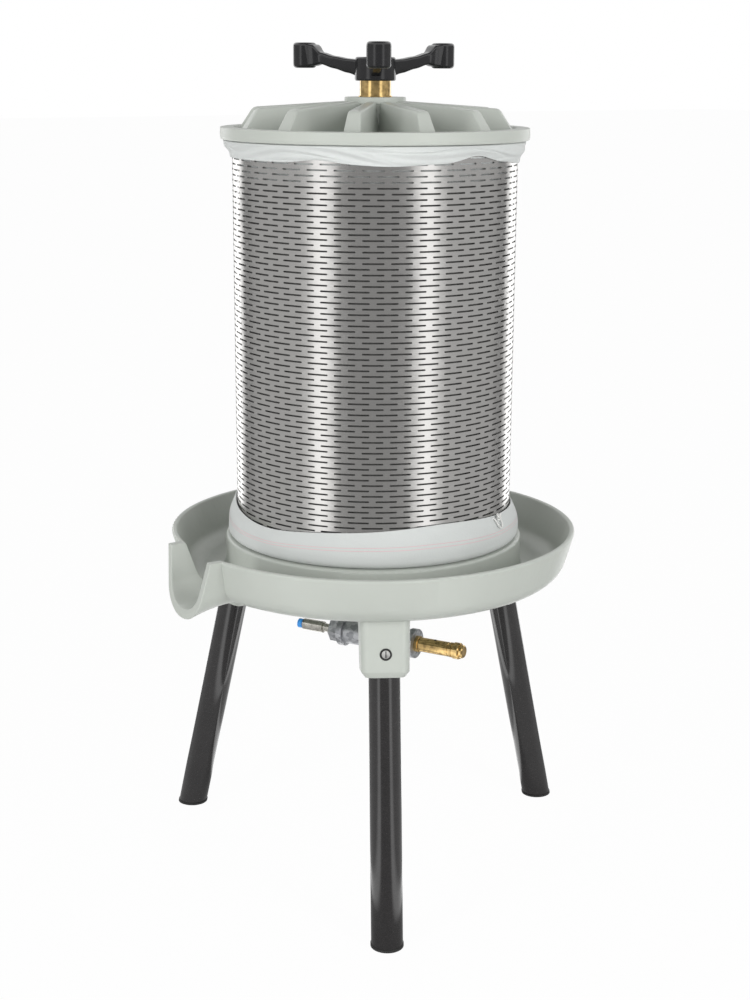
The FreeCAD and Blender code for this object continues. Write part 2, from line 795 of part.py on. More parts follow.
def make_lid():
    """A cast lid: drafted ribs, then the rimmed plate, the boss and a spigot that centres it."""
    body = new_body("lid", "lid_turn")
    plate = "lid_bottom + lid_plate"
    base = "lid_bottom + lid_plate / 2"
    side = "rib_thickness / 2"
    across = [
        ("boss_radius - rib_root", "-" + side),
        ("rib_foot", "-" + side),
        ("rib_foot", side),
        ("boss_radius - rib_root", side),
    ]
    rib = feature(body, "Pad", outline(body, across, "XY_Plane", z=base),
                  Length="boss_top", TaperAngle="-rib_draft * 1 deg")
    polar(body, [rib], "rib_count")
    inside, outside = "boss_radius - 2 * rib_root", "rib_foot + lid_rim"
    above = "lid_bottom + 2 * boss_top"
    trimmed = [
        (inside, "lid_boss_top - rib_inner_drop"),
        ("rib_shoulder", "lid_bottom + rib_outer_top", "rib_round"),
        ("rib_foot", plate),
        (outside, plate),
        (outside, above),
        (inside, above),
    ]
    revolve(body, outline(body, trimmed), kind="Groove")
    inner_rim = "lid_radius - lid_rim_width"
    corners = [
        ("rod_hole", "lid_bottom"),
        ("spigot_radius - spigot_width", "lid_bottom"),
        ("spigot_radius - spigot_width", "lid_bottom - spigot_depth"),
        ("spigot_radius", "lid_bottom - spigot_depth"),
        ("spigot_radius", "lid_bottom"),
        ("lid_radius", "lid_bottom", "lid_edge"),
        ("lid_radius", "lid_bottom + lid_rim", "lid_edge"),
        (inner_rim, "lid_bottom + lid_rim", "lid_edge"),
        (inner_rim + " - lid_edge", plate),
        ("boss_radius + boss_foot", plate + " + boss_foot", "lid_edge"),
        ("boss_radius", "lid_boss_top", "lid_edge"),
        ("rod_hole", "lid_boss_top"),
    ]
    revolve(body, outline(body, corners))
    hole = circles(body, ["rod_hole"], z=base)
    feature(body, "Pocket", hole, Type=1, Midplane=True)


# Bladder, rod and star handle


def make_tie_rod():
    """The rod, hollow at its foot, with a cross hole that lets the air out into the bladder."""
    body = new_body("tie_rod")
    edge = "rod_radius / 8"
    corners = [
        ("air_bore", "rod_bottom"),
        ("rod_radius", "rod_bottom"),
        ("rod_radius", "rod_top - " + edge),
        ("rod_radius - " + edge, "rod_top"),
        ("0", "rod_top"),
        ("0", "rod_bottom + air_bore_length"),
        ("air_bore", "rod_bottom + air_bore_length"),
    ]
    revolve(body, outline(body, corners))
    level = "rod_bottom + air_bore_length - 2 * air_bore"
    hole = circles(body, ["air_bore / 2"], "XZ_Plane", ("0", level))
    feature(body, "Pocket", hole, Type=1, Midplane=True)


def make_bladder_set():
    """The rubber sleeve, the tube and flanges that carry it, and the bands that clamp it."""
    collar = "core_radius - collar_wall"
    turned("base_gasket", ring_corners("flange_radius - gasket_width", "flange_radius",
                                       "seat_height", "flange_bottom"))
    turned("base_flange", [
        ("rod_radius + running_clearance", "flange_bottom"),
        ("flange_radius", "flange_bottom"),
        ("flange_radius", "flange_top"),
        ("core_radius", "flange_top"),
        ("core_radius", "core_bottom"),
        (collar, "core_bottom"),
        (collar, "flange_top"),
        ("rod_radius + running_clearance", "flange_top"),
    ])
    turned("core_tube", ring_corners("core_radius - core_wall", "core_radius", "core_bottom",
                                     "core_top"))
    turned("head_flange", [
        ("rod_radius + running_clearance", "head_bottom"),
        (collar, "head_bottom"),
        (collar, "core_top"),
        ("core_radius", "core_top"),
        ("core_radius", "head_bottom"),
        ("bladder_outer", "head_bottom"),
        ("bladder_outer", "head_top"),
        ("rod_radius + 2 * seal_section", "head_top"),
        ("rod_radius + running_clearance", "head_top - seal_section"),
    ])
    seal = [
        ("rod_radius + running_clearance", "head_top - seal_section + thread_fit"),
        ("rod_radius + 2 * seal_section - thread_fit", "head_top"),
        ("rod_radius + running_clearance", "head_top"),
    ]
    turned("rod_seal", seal)
    turned("bladder", ring_corners("bladder_inner", "bladder_outer", "flange_top", "head_bottom"))
    body = new_body("bladder_bands")
    for low in ("flange_top + band_inset", "head_bottom - band_inset - band_width"):
        band = ring_corners("bladder_outer", "bladder_outer + band_thickness", low,
                            low + " + band_width")
        ring = revolve(body, outline(body, band))
        ring.AllowMultiFace = True


def make_hex_nut(name, flats, bore, low, height):
    """A plain hexagon nut: a prism with a bore, on the press axis."""
    prism = doc.addObject("Part::Prism", name + "_hexagon")
    prism.Polygon = 6
    prism.setExpression("Circumradius", bind("(" + flats + ") / (2 * cos(30 * 1 deg))"))
    prism.setExpression("Height", bind(height))
    hole = doc.addObject("Part::Cylinder", name + "_bore")
    hole.setExpression("Radius", bind(bore))
    hole.setExpression("Height", bind(height))
    nut = doc.addObject("Part::Cut", name)
    nut.Label = name
    nut.Base = prism
    nut.Tool = hole
    nut.setExpression("Placement.Base.y", bind("axis_shift"))
    nut.setExpression("Placement.Base.z", bind(low))
    sub_parts.append(nut)


def make_rod_fasteners():
    bore = "rod_radius + thread_fit"
    make_hex_nut("flange_nut", "top_nut_flats", bore, "head_top", "top_nut_height")
    turned("rod_washer", ring_corners(bore, "washer_plate_radius", "rod_nut_top", "hub_bottom"))
    make_hex_nut("rod_nut", "rod_nut_flats", bore, "rod_nut_top - rod_nut_height",
                 "rod_nut_height")


def make_star_nut():
    """Thrust washer, brass bush and the three-armed handle moulded on the bush's neck."""
    turned("thrust_washer", ring_corners("bore_in_nut", "washer_radius", "lid_boss_top",
                                         "washer_top"))
    turned("brass_bush", [
        ("bore_in_nut", "washer_top"),
        ("bush_radius", "washer_top"),
        ("bush_radius", "hub_base"),
        ("bush_neck_radius", "hub_base"),
        ("bush_neck_radius", "hub_base + bush_neck"),
        ("bore_in_nut", "hub_base + bush_neck"),
    ])
    body = new_body("star_handle", "star_turn")
    hub_top = "hub_base + star_hub_height"
    corners = [
        ("0", "hub_base + bush_neck"),
        ("bush_neck_radius", "hub_base + bush_neck"),
        ("bush_neck_radius", "hub_base"),
        ("star_hub_radius", "hub_base", "lid_edge"),
        ("star_hub_radius", hub_top, "star_hub_round"),
        ("0", hub_top),
    ]
    revolve(body, outline(body, corners))
    add_star_arms(body)


def arm_section(body, reach, place):
    """A keel-shaped section across an arm, at that distance from the press axis."""
    half, keel = "arm_%s_half_width" % place, "arm_%s_keel" % place
    low, high = "hub_base + arm_%s_bottom" % place, "hub_base + arm_%s_top" % place
    corners = [("-" + keel, low), (keel, low), (half, high), ("-" + half, high)]
    return outline(body, corners, "YZ_Plane", z=reach)


def add_star_arms(body):
    """Arms that rise to a flared neck and end in drum-shaped knobs."""
    root = arm_section(body, "bush_neck_radius + bush_wall_room", "root")
    waist = arm_section(body, "arm_waist", "waist")
    tip = arm_section(body, "arm_tip", "tip")
    arm = feature(body, "AdditiveLoft", root, Sections=[waist, tip], Ruled=False)
    tip = arm_section(body, "arm_tip", "tip")
    end = arm_section(body, "knob_reach - knob_radius + knob_edge", "neck")
    neck = feature(body, "AdditiveLoft", tip, Sections=[end], Ruled=True)
    low, high = "hub_base + knob_base", "hub_base + knob_base + knob_height"
    drum = [("0", low), ("knob_radius", low, "knob_edge"), ("knob_radius", high, "knob_edge"),
            ("0", high)]
    knob = revolve(body, outline(body, drum, x="knob_reach"))
    polar(body, [arm, neck, knob], "star_arms")


# Air fittings on the level run


def make_tee():
    body = new_body("tee", "run_turn", "run_height")
    bead_start = "tee_half_run - tee_bead_width"
    for side in ("", "-"):
        corners = [
            ("0", "0"),
            (side + "tee_half_run", "0"),
            (side + "tee_half_run", "tee_bead"),
            (side + "(" + bead_start + ")", "tee_bead"),
            (side + "(" + bead_start + ")", "tee_radius"),
            ("0", "tee_radius"),
        ]
        revolve(body, outline(body, corners), "H_Axis")
    corners = [
        ("0", "0"),
        ("tee_radius", "0"),
        ("tee_radius", "tee_rise - tee_bead_width"),
        ("tee_bead", "tee_rise - tee_bead_width"),
        ("tee_bead", "tee_rise"),
        ("0", "tee_rise"),
    ]
    revolve(body, outline(body, corners))
    for side in ("", "-"):
        corners = [
            ("0", "0"),
            (side + "(tee_half_run + cut_room)", "0"),
            (side + "(tee_half_run + cut_room)", "tee_port"),
            (side + "(tee_half_run - tee_port_depth)", "tee_port"),
            (side + "(tee_half_run - tee_port_depth)", "tee_bore"),
            ("0", "tee_bore"),
        ]
        revolve(body, outline(body, corners), "H_Axis", "Groove")
    corners = [
        ("0", "0"),
        ("tee_bore", "0"),
        ("tee_bore", "tee_rise - tee_port_depth"),
        ("rod_radius + thread_fit", "tee_rise - tee_port_depth"),
        ("rod_radius + thread_fit", "tee_rise + cut_room"),
        ("0", "tee_rise + cut_room"),
    ]
    revolve(body, outline(body, corners), "V_Axis", "Groove")


def hex_collar(body, flats, start, length):
    """A hexagon on the pipe run, from start outwards by length."""
    sketch = new_sketch(body, "YZ_Plane", z=start)
    radius = value("(" + flats + ") / (2 * cos(30 * 1 deg))")
    spots = [FreeCAD.Vector(radius, 0, 0)]
    turn = FreeCAD.Rotation(FreeCAD.Vector(0, 0, 1), 60)
    for _ in range(5):
        spots.append(turn.multVec(spots[-1]))
    lines = []
    for index, spot in enumerate(spots):
        line = Part.LineSegment(spot, spots[(index + 1) % 6])
        lines.append(sketch.addGeometry(line, False))
    for index, line in enumerate(lines):
        following = lines[(index + 1) % 6]
        sketch.addConstraint(Sketcher.Constraint("Coincident", line, 2, following, 1))
    circle = sketch.addGeometry(
        Part.Circle(FreeCAD.Vector(0, 0, 0), FreeCAD.Vector(0, 0, 1), radius), True)
    sketch.addConstraint(Sketcher.Constraint("Coincident", circle, 3, -1, 1))
    for line in lines:
        sketch.addConstraint(Sketcher.Constraint("PointOnObject", line, 1, circle))
    for line in lines[1:]:
        sketch.addConstraint(Sketcher.Constraint("Equal", lines[0], line))
    sketch.addConstraint(Sketcher.Constraint("PointOnObject", lines[0], 1, -1))
    index = sketch.addConstraint(Sketcher.Constraint("Radius", circle, radius))
    sketch.setExpression("Constraints[%d]" % index,
                         bind("(" + flats + ") / (2 * cos(30 * 1 deg))"))
    return feature(body, "Pad", sketch, Length=length)


def make_valve_side():
    """Nipple, coupling and the safety valve that points out to the right."""
    thread = "tee_port - thread_fit"
    body = new_body("hex_nipple", "run_turn", "run_height")
    corners = ring_corners("tee_half_run - nipple_thread", "coupling_start + coupling_thread",
                           "tee_bore", thread)
    revolve(body, outline(body, corners), "H_Axis")
    hex_collar(body, "nipple_flats", "tee_half_run", "nipple_hex")
    bore = circles(body, ["tee_bore"], "YZ_Plane")
    feature(body, "Pocket", bore, Length="valve_end", Reversed=True)
    bead = "coupling_end - coupling_bead_width"
    along_run("coupling", [
        ("coupling_start", "tee_port"),
        ("coupling_start + coupling_thread + cut_room", "tee_port"),
        ("coupling_start + coupling_thread + cut_room", "valve_radius"),
        ("coupling_end", "valve_radius"),
        ("coupling_end", "tee_bead"),
        (bead, "tee_bead"),
        (bead, "coupling_radius"),
        ("coupling_start", "coupling_radius"),
    ])
    make_safety_valve()


def make_safety_valve():
    body = new_body("valve_body", "run_turn", "run_height")
    stem = "coupling_end - coupling_bead_width"
    chamber = "valve_start + valve_seat_depth"
    corners = [
        (stem, "valve_seat_bore"),
        (stem, "valve_radius - thread_fit"),
        ("coupling_end", "valve_radius - thread_fit"),
        ("coupling_end", "valve_radius"),
        ("valve_end", "valve_radius"),
        ("valve_end", "valve_bore"),
        (chamber, "valve_bore"),
        (chamber, "valve_seat_bore"),
    ]
    revolve(body, outline(body, corners), "H_Axis")
    vent = circles(body, ["valve_vent"], "XY_Plane", (chamber + " + poppet_length / 2", "0"))
    feature(body, "Pocket", vent, Length="valve_radius + cut_room", Reversed=True)
    along_run("valve_poppet", [
        (chamber, "0"),
        (chamber + " + poppet_length", "0"),
        (chamber + " + poppet_length", "valve_bore - running_clearance"),
        (chamber, "valve_bore - running_clearance"),
    ])
    spring_start = chamber + " + poppet_length + poppet_travel + spring_play"
    along_run("valve_spring", ring_corners(spring_start, "valve_end",
                                           "spring_radius - spring_wire", "spring_radius"))
    nose = "valve_end + valve_cap_length"
    along_run("valve_cap", [
        ("valve_end", "0"),
        ("valve_end", "valve_cap_radius", "valve_cap_round"),
        (nose, "valve_cap_radius", "valve_cap_round"),
        (nose, "valve_nose_radius"),
        (nose + " + valve_nose", "valve_nose_radius", "valve_nose_round"),
        (nose + " + valve_nose", "0"),
    ])


def make_air_inlet():
    """Reducing bush and push-in fitting that take the hose from the compressor."""
    body = new_body("reducing_bush", "run_turn", "run_height")
    corners = [
        ("-(tee_half_run - nipple_thread)", "neck_radius"),
        ("-(tee_half_run - nipple_thread)", "tee_port - thread_fit"),
        ("-(tee_half_run + cut_room)", "tee_port - thread_fit"),
        ("-(tee_half_run + cut_room)", "neck_radius"),
    ]
    revolve(body, outline(body, corners), "H_Axis")
    hex_collar(body, "bushing_flats", "-bushing_end", "bushing_hex")
    bore = circles(body, ["neck_radius"], "YZ_Plane")
    feature(body, "Pocket", bore, Length="push_end")
    mouth = "push_end - collar_seat"
    stop = "push_end - hose_depth"
    along_run("push_in_body", [
        ("-(bushing_end - bushing_hex / 2)", "hose_radius - hose_stop"),
        ("-(bushing_end - bushing_hex / 2)", "neck_radius - thread_fit"),
        ("-neck_end", "neck_radius - thread_fit"),
        ("-neck_end", "push_radius"),
        ("-push_end", "push_radius"),
        ("-push_end", "collar_neck + running_clearance"),
        ("-(" + mouth + ")", "collar_neck + running_clearance"),
        ("-(" + mouth + ")", "hose_radius + hose_clearance"),
        ("-(" + stop + ")", "hose_radius + hose_clearance"),
        ("-(" + stop + ")", "hose_radius - hose_stop"),
    ])
    lip = "push_end + collar_travel + collar_play"
    inner = "push_end - collar_seat + collar_travel + collar_play"
    along_run("release_collar", [
        ("-(" + inner + ")", "hose_radius + hose_clearance"),
        ("-(" + inner + ")", "collar_neck"),
        ("-(" + lip + ")", "collar_neck"),
        ("-(" + lip + ")", "collar_radius"),
        ("-(push_end + collar_length)", "collar_radius"),
        ("-(push_end + collar_length)", "hose_radius + hose_clearance"),
    ])


make_legs()
make_leg_set_screws()
make_tray()
make_tie_rod()
make_bladder_set()
make_rod_fasteners()
make_tee()
make_valve_side()
make_air_inlet()
make_basket()
make_press_cloth()
make_drawstring()
make_lid()
make_star_nut()
doc.recompute()

faults = [item.Name for item in doc.Objects if {"Invalid", "Error"} & set(item.State)]
if faults:
    raise RuntimeError("not built: " + ", ".join(faults))
for item in sub_parts:
    if item.Shape.isNull() or not item.Shape.isValid() or not item.Shape.Solids:
        raise RuntimeError("no valid solid: " + item.Label)

os.makedirs("parts", exist_ok=True)
for item in sub_parts:
    item.Shape.exportStep(os.path.join("parts", item.Label + ".step"))
print(len(sub_parts), "sub-parts written")
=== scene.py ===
# %% [markdown]
# A pneumatic fruit press, dressed for its picture.
#
# The CAD model already stands in the frame: every node is a mesh in metres with its object at
# the origin. This lesson gives the nodes their finishes and puts finer pieces where the plain
# solids stand in for slotted steel, cast ribs, cloth and cord. Everything is worked out from
# the nodes' own boxes, so a piece can't drift away from what carries it.

import json
import math

import bpy
from mathutils import Matrix, Vector, noise


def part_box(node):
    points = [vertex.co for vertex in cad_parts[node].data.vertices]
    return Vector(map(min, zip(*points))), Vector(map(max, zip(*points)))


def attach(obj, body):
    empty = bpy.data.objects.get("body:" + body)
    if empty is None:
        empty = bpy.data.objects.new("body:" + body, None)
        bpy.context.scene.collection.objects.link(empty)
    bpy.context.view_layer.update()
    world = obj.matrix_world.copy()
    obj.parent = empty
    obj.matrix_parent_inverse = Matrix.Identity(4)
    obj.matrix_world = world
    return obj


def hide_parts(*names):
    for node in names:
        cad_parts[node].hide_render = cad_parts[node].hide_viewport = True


MM = 0.001
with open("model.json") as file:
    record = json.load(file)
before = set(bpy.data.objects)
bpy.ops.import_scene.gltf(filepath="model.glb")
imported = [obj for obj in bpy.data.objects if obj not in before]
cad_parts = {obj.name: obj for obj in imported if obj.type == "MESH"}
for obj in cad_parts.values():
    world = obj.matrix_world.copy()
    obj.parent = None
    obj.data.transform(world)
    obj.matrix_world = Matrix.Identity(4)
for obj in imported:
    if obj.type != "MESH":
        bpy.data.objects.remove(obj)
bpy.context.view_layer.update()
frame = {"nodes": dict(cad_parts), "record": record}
nodes = frame["nodes"]

# %% [markdown]
# The press axis is the middle of the basket. The heights that later cells need are read from
# the boxes of the nodes here, once.

# %% Main places
basket_low, basket_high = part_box("basket")
AXIS = Vector(((basket_low.x + basket_high.x) / 2, (basket_low.y + basket_high.y) / 2, 0.0))
BASKET_RADIUS = (basket_high.x - basket_low.x) / 2
LID_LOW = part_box("lid")[0].z
LID_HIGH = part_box("lid")[1].z
print("axis:", tuple(round(place, 4) for place in AXIS), "basket radius:", round(BASKET_RADIUS, 4))

# %% [markdown]
# The camera. The photograph was taken from a little above the tray, at the level of the star
# handle, looking down by about 14 degrees. A lens of 61 mm on a 36 mm sensor gives the same
# narrowing of the legs towards the floor. The small turn and roll are those of the picture.

# %% Camera
CAMERA_TURN = math.radians(56.22)
CAMERA_AIM = math.radians(-0.056)
CAMERA_PITCH = math.radians(14.398)
CAMERA_ROLL = 0.0049
CAMERA_DISTANCE = 2.11745
CAMERA_HEIGHT = 1.02041
CAMERA_LENS = 60.94


def towards_camera(turn=0.0):
    """A level unit vector from the press axis towards the camera, turned about the axis."""
    angle = CAMERA_TURN + turn
    return Vector((math.sin(angle), -math.cos(angle), 0.0))


lens = bpy.data.cameras.new("photo_camera")
lens.sensor_width = 36.0
lens.lens = CAMERA_LENS
camera = bpy.data.objects.new("photo_camera", lens)
bpy.context.scene.collection.objects.link(camera)
spot = AXIS + towards_camera() * CAMERA_DISTANCE + Vector((0, 0, CAMERA_HEIGHT))
camera.matrix_world = (
    Matrix.Translation(spot)
    @ Matrix.Rotation(CAMERA_TURN + CAMERA_AIM, 4, "Z")
    @ Matrix.Rotation(math.pi / 2 - CAMERA_PITCH, 4, "X")
    @ Matrix.Rotation(CAMERA_ROLL, 4, "Z")
)
bpy.context.scene.camera = camera
print("camera at", tuple(round(place, 3) for place in spot))

# %% [markdown]
# Shader maths. A node's output is wrapped in a small class whose operators add Math nodes, so
# that a finish reads like the sum that it is. Every other node comes from one method that
# takes the node's type, its settings and what its sockets are fed with.

# %% Shader links and finishes


class Link:
    """A node's output. Python's operators on it add Math nodes to the finish."""

    def __init__(self, finish, socket):
        self.finish = finish
        self.socket = socket

    def maths(self, operation, first, second):
        return self.finish.node("Math", {"operation": operation}, {0: first, 1: second})

    def __add__(self, other):
        return self.maths("ADD", self, other)

    def __radd__(self, other):
        return self.maths("ADD", other, self)

    def __sub__(self, other):
        return self.maths("SUBTRACT", self, other)

    def __rsub__(self, other):
        return self.maths("SUBTRACT", other, self)

    def __mul__(self, other):
        return self.maths("MULTIPLY", self, other)

    def __rmul__(self, other):
        return self.maths("MULTIPLY", other, self)

    def __truediv__(self, other):
        return self.maths("DIVIDE", self, other)

    def __pow__(self, other):
        return self.maths("POWER", self, other)

    def __gt__(self, other):
        return self.maths("GREATER_THAN", self, other)


class Finish:
    """One material. Its Principled shader is set up with plain values, then fed with links."""

    def __init__(self, name, colour, **plain):
        self.material = bpy.data.materials.new(name)
        self.material.use_nodes = True
        self.tree = self.material.node_tree
        self.skin = self.tree.nodes["Principled BSDF"]
        self.skin.inputs["Base Color"].default_value = (*colour, 1.0)
        for name, number in plain.items():
            self.socket(name).default_value = number

    def socket(self, name):
        """A socket of the Principled shader, named in words with low lines, as in base_color."""
        words = name.replace("_", " ")
        return next(socket for socket in self.skin.inputs if socket.name.lower() == words)

    def node(self, kind, settings=None, feeds=None, output=0):
        """Adds a node: its type, its settings, then the values or links of its sockets."""
        made = self.tree.nodes.new("ShaderNode" + kind)
        for name, setting in (settings or {}).items():
            if name == "stops":
                self.set_stops(made.color_ramp, setting)
            else:
                setattr(made, name, setting)
        for name, given in (feeds or {}).items():
            self.feed(made.inputs[name], given)
        return Link(self, made.outputs[output])

    def set_stops(self, ramp, stops):
        while len(ramp.elements) > len(stops):
            ramp.elements.remove(ramp.elements[-1])
        while len(ramp.elements) < len(stops):
            ramp.elements.new(0.5)
        for element, (place, colour) in zip(ramp.elements, stops):
            element.position = place
            element.color = (*colour, 1.0) if hasattr(colour, "__len__") else (colour,) * 3 + (1.0,)

    def feed(self, socket, given):
        if isinstance(given, Link):
            self.tree.links.new(given.socket, socket)
        elif hasattr(given, "__len__") and socket.type == "RGBA":
            socket.default_value = (*given, 1.0)
        else:
            socket.default_value = given

    def place(self, stretch=(1.0, 1.0, 1.0)):
        """The point on the piece in metres, stretched along the axes where asked."""
        spot = self.node("TexCoord", output="Object")
        return self.node("Mapping", None, {"Vector": spot, "Scale": stretch})

    def noise(self, size, stretch=(1.0, 1.0, 1.0), detail=2.0, roughness=0.5):
        """Noise with features of about that size in metres, from 0 to 1."""
        feeds = {"Vector": self.place(stretch), "Scale": 1.0 / size, "Detail": detail,
                 "Roughness": roughness}
        return self.node("TexNoise", None, feeds)

    def cells(self, size, feature="F1", output="Distance", stretch=(1.0, 1.0, 1.0)):
        """Voronoi cells of about that size in metres."""
        feeds = {"Vector": self.place(stretch), "Scale": 1.0 / size}
        return self.node("TexVoronoi", {"feature": feature}, feeds, output)

    def blend(self, factor, first, second):
        """A colour between two others."""
        return self.node("Mix", {"data_type": "RGBA"}, {0: factor, 6: first, 7: second}, 2)

    def ramp(self, factor, *stops):
        return self.node("ValToRGB", {"stops": stops}, {"Fac": factor})

    def set(self, **links):
        """Feeds sockets of the Principled shader, such as base_color or roughness."""
        for name, given in links.items():
            self.feed(self.socket(name), given)

    def bump(self, *layers):
        """Layers of (height link, depth in metres), the finest last."""
        normal = None
        for height, depth in layers:
            feeds = {"Height": height, "Distance": depth, "Strength": 1.0}
            if normal:
                feeds["Normal"] = normal
            normal = self.node("Bump", None, feeds)
        self.set(normal=normal)


print("shader helpers ready")

# %% [markdown]
# The castings. Tray and lid are cast metal under a satin light grey-green paint. Up close such
# paint is not flat: it follows the grain of the sand mould, and dust and thin spots change its
# tone a little. Two bump layers, a broad and a fine one, give both.

# %% Cast paint
PAINT = (0.505, 0.532, 0.490)
PAINT_SHADE = (0.470, 0.497, 0.458)


def cast_paint():
    finish = Finish("cast_paint", PAINT, roughness=0.38)
    broad = finish.noise(60 * MM, detail=3.0)
    grain = finish.noise(1.6 * MM, detail=3.0)
    lumps = finish.noise(14 * MM, detail=2.0)
    finish.set(base_color=finish.blend(broad, PAINT_SHADE, PAINT))
    finish.set(roughness=0.28 + 0.12 * broad + 0.06 * grain)
    finish.bump((lumps, 0.30 * MM), (grain, 0.06 * MM))
    return finish


# %% [markdown]
# The legs. A dark hammered coat: the lacquer draws together in small cells with glossy domes,
# so cells of about 3 mm feed the bump and a thin clear coat carries the streaks of light.

# %% Leg coat
LEG = (0.008, 0.0072, 0.0075)
LEG_LIGHT = (0.020, 0.018, 0.0185)


def leg_coat():
    finish = Finish("leg_coat", LEG, roughness=0.35, specular_ior_level=0.1, coat_roughness=0.07,
                    coat_ior=1.7)
    dimples = finish.cells(2.6 * MM, "SMOOTH_F1")
    fine = finish.noise(0.9 * MM, detail=3.0)
    broad = finish.noise(40 * MM)
    finish.set(base_color=finish.blend(dimples * 0.8 + broad * 0.3, LEG, LEG_LIGHT))
    finish.set(roughness=0.28 + 0.16 * fine, coat_weight=0.8 + 0.2 * broad)
    finish.bump((dimples, 0.09 * MM), (fine, 0.02 * MM))
    return finish


# %% [markdown]
# Metals. Sheet, turned and plated metals differ mostly in how their fine marks run: round the
# basket, evenly over a turned piece, or in the flowers of a zinc bath.

# %% Metals
BASKET_STEEL = (0.60, 0.59, 0.575)
BRASS = (0.80, 0.56, 0.24)
ZINC = (0.52, 0.53, 0.55)


def sheet_steel():
    """Satin stainless sheet, rolled round: fine marks that run level."""
    finish = Finish("basket_steel", BASKET_STEEL, metallic=1.0, roughness=0.26)
    marks = finish.noise(0.5 * MM, (0.04, 0.04, 1.0), 3.0)
    clouds = finish.noise(50 * MM, detail=2.0)
    finish.set(roughness=0.14 + 0.08 * clouds + 0.07 * marks)
    finish.set(base_color=finish.blend(marks, (0.57, 0.56, 0.545), (0.66, 0.65, 0.635)))
    finish.bump((clouds, 0.5 * MM), (marks, 0.012 * MM))
    return finish


def turned_metal(name, colour, roughness, tarnish=0.72):
    """A metal with fine even marks, and darker places where it has tarnished."""
    finish = Finish(name, colour, metallic=1.0, roughness=roughness)
    worn = finish.noise(6 * MM, detail=3.0)
    rings = finish.noise(0.35 * MM, (1.0, 1.0, 1.0), 2.0)
    darker = tuple(tarnish * channel for channel in colour)
    finish.set(base_color=finish.blend(finish.ramp(worn, (0.32, 0.0), (0.60, 1.0)), darker, colour))
    finish.set(roughness=roughness * (0.75 + 0.5 * worn))
    finish.bump((rings, 0.01 * MM))
    return finish


def galvanised():
    """Hot-dipped malleable iron: grey zinc flowers over a rough casting."""
    finish = Finish("galvanised", ZINC, metallic=0.85, roughness=0.42)
    flowers = finish.cells(5 * MM, output="Color")
    casting = finish.noise(2.6 * MM, detail=4.0, roughness=0.6)
    finish.set(base_color=finish.blend(flowers, (0.26, 0.27, 0.285), (0.62, 0.63, 0.65)))
    finish.set(roughness=0.22 + 0.25 * casting)
    finish.bump((casting, 0.45 * MM))
    return finish


# %% [markdown]
# Plastics and rubber. The handle is a glossy black moulding, the hose collar a clear blue one,
# and the bladder and its seals are matt rubber with a bloom of grey.

# %% Plastics and rubber


def moulded(name, colour, roughness, grain=0.02):
    finish = Finish(name, colour, roughness=roughness)
    flow = finish.noise(12 * MM, detail=2.0)
    fine = finish.noise(0.7 * MM, detail=2.0)
    lighter = tuple(min(1.0, 1.25 * channel + 0.004) for channel in colour)
    finish.set(base_color=finish.blend(flow, colour, lighter))
    finish.set(roughness=roughness * (0.8 + 0.4 * flow))
    finish.bump((fine, grain * MM))
    return finish


# %% [markdown]
# Cloth. A white polyester press cloth has a plain weave of about 0.6 mm. Two crossed wave
# textures would need UVs, so the weave comes from level and upright ripples in space.

# %% Cloth and cord
CLOTH = (0.630, 0.652, 0.640)
# A dark grey cloth colour for the cloth inside the basket: painted shade, which makes the basket's
# slots look dark.
CLOTH_PAINTED_SHADE = (0.16, 0.16, 0.155)
SEAM = (0.78, 0.56, 0.58)


def woven(name, colour, thread=0.9):
    finish = Finish(name, colour, roughness=0.85, sheen_weight=0.25, subsurface_weight=0.0)
    weft = finish.noise(thread * MM, (0.25, 0.25, 1.0), 1.0)
    warp = finish.noise(thread * MM, (1.0, 1.0, 0.25), 1.0)
    broad = finish.noise(35 * MM)
    shade = tuple(0.93 * channel for channel in colour)
    finish.set(base_color=finish.blend(broad * 0.6 + weft * 0.4, shade, colour))
    finish.bump((weft + warp, 0.12 * MM))
    return finish


# %% Finish list
FINISHES = {
    "cast_paint": cast_paint(),
    "leg_coat": leg_coat(),
    "black_plastic": moulded("black_plastic", (0.018, 0.018, 0.018), 0.5, 0.03),
    "zinc_steel": turned_metal("zinc_steel", (0.62, 0.62, 0.60), 0.28),
    "rod_steel": turned_metal("rod_steel", (0.52, 0.52, 0.51), 0.32),
    "seal_rubber": moulded("seal_rubber", (0.03, 0.03, 0.03), 0.65, 0.04),
    "flange_metal": turned_metal("flange_metal", (0.68, 0.68, 0.68), 0.35),
    "stainless": turned_metal("stainless", (0.60, 0.60, 0.58), 0.30),
    "bladder_rubber": moulded("bladder_rubber", (0.035, 0.034, 0.033), 0.6, 0.06),
    "brass": turned_metal("brass", BRASS, 0.12, 0.52),
    "black_handle": moulded("black_handle", (0.010, 0.010, 0.011), 0.17, 0.012),
    "galvanised": galvanised(),
    "screw_steel": turned_metal("screw_steel", (0.80, 0.80, 0.78), 0.45, 0.8),
    "spring_steel": turned_metal("spring_steel", (0.5, 0.5, 0.5), 0.3),
    "nickel": turned_metal("nickel", (0.66, 0.64, 0.58), 0.24),
    "blue_plastic": moulded("blue_plastic", (0.05, 0.32, 0.80), 0.3, 0.01),
    "basket_steel": sheet_steel(),
    "cloth": woven("cloth", CLOTH),
    # The cloth inside the basket, darkened as painted shade.
    "cloth_in_painted_shade": woven("cloth_in_painted_shade", CLOTH_PAINTED_SHADE),
    "cord": woven("cord", (0.78, 0.78, 0.76), 0.5),
    "seam_thread": woven("seam_thread", SEAM, 0.4),
}
for part in frame["record"]["subparts"]:
    node = nodes[part["node"]]
    node.data.materials.clear()
    node.data.materials.append(FINISHES[part["material_slot"]].material)
print("finishes:", len(FINISHES))
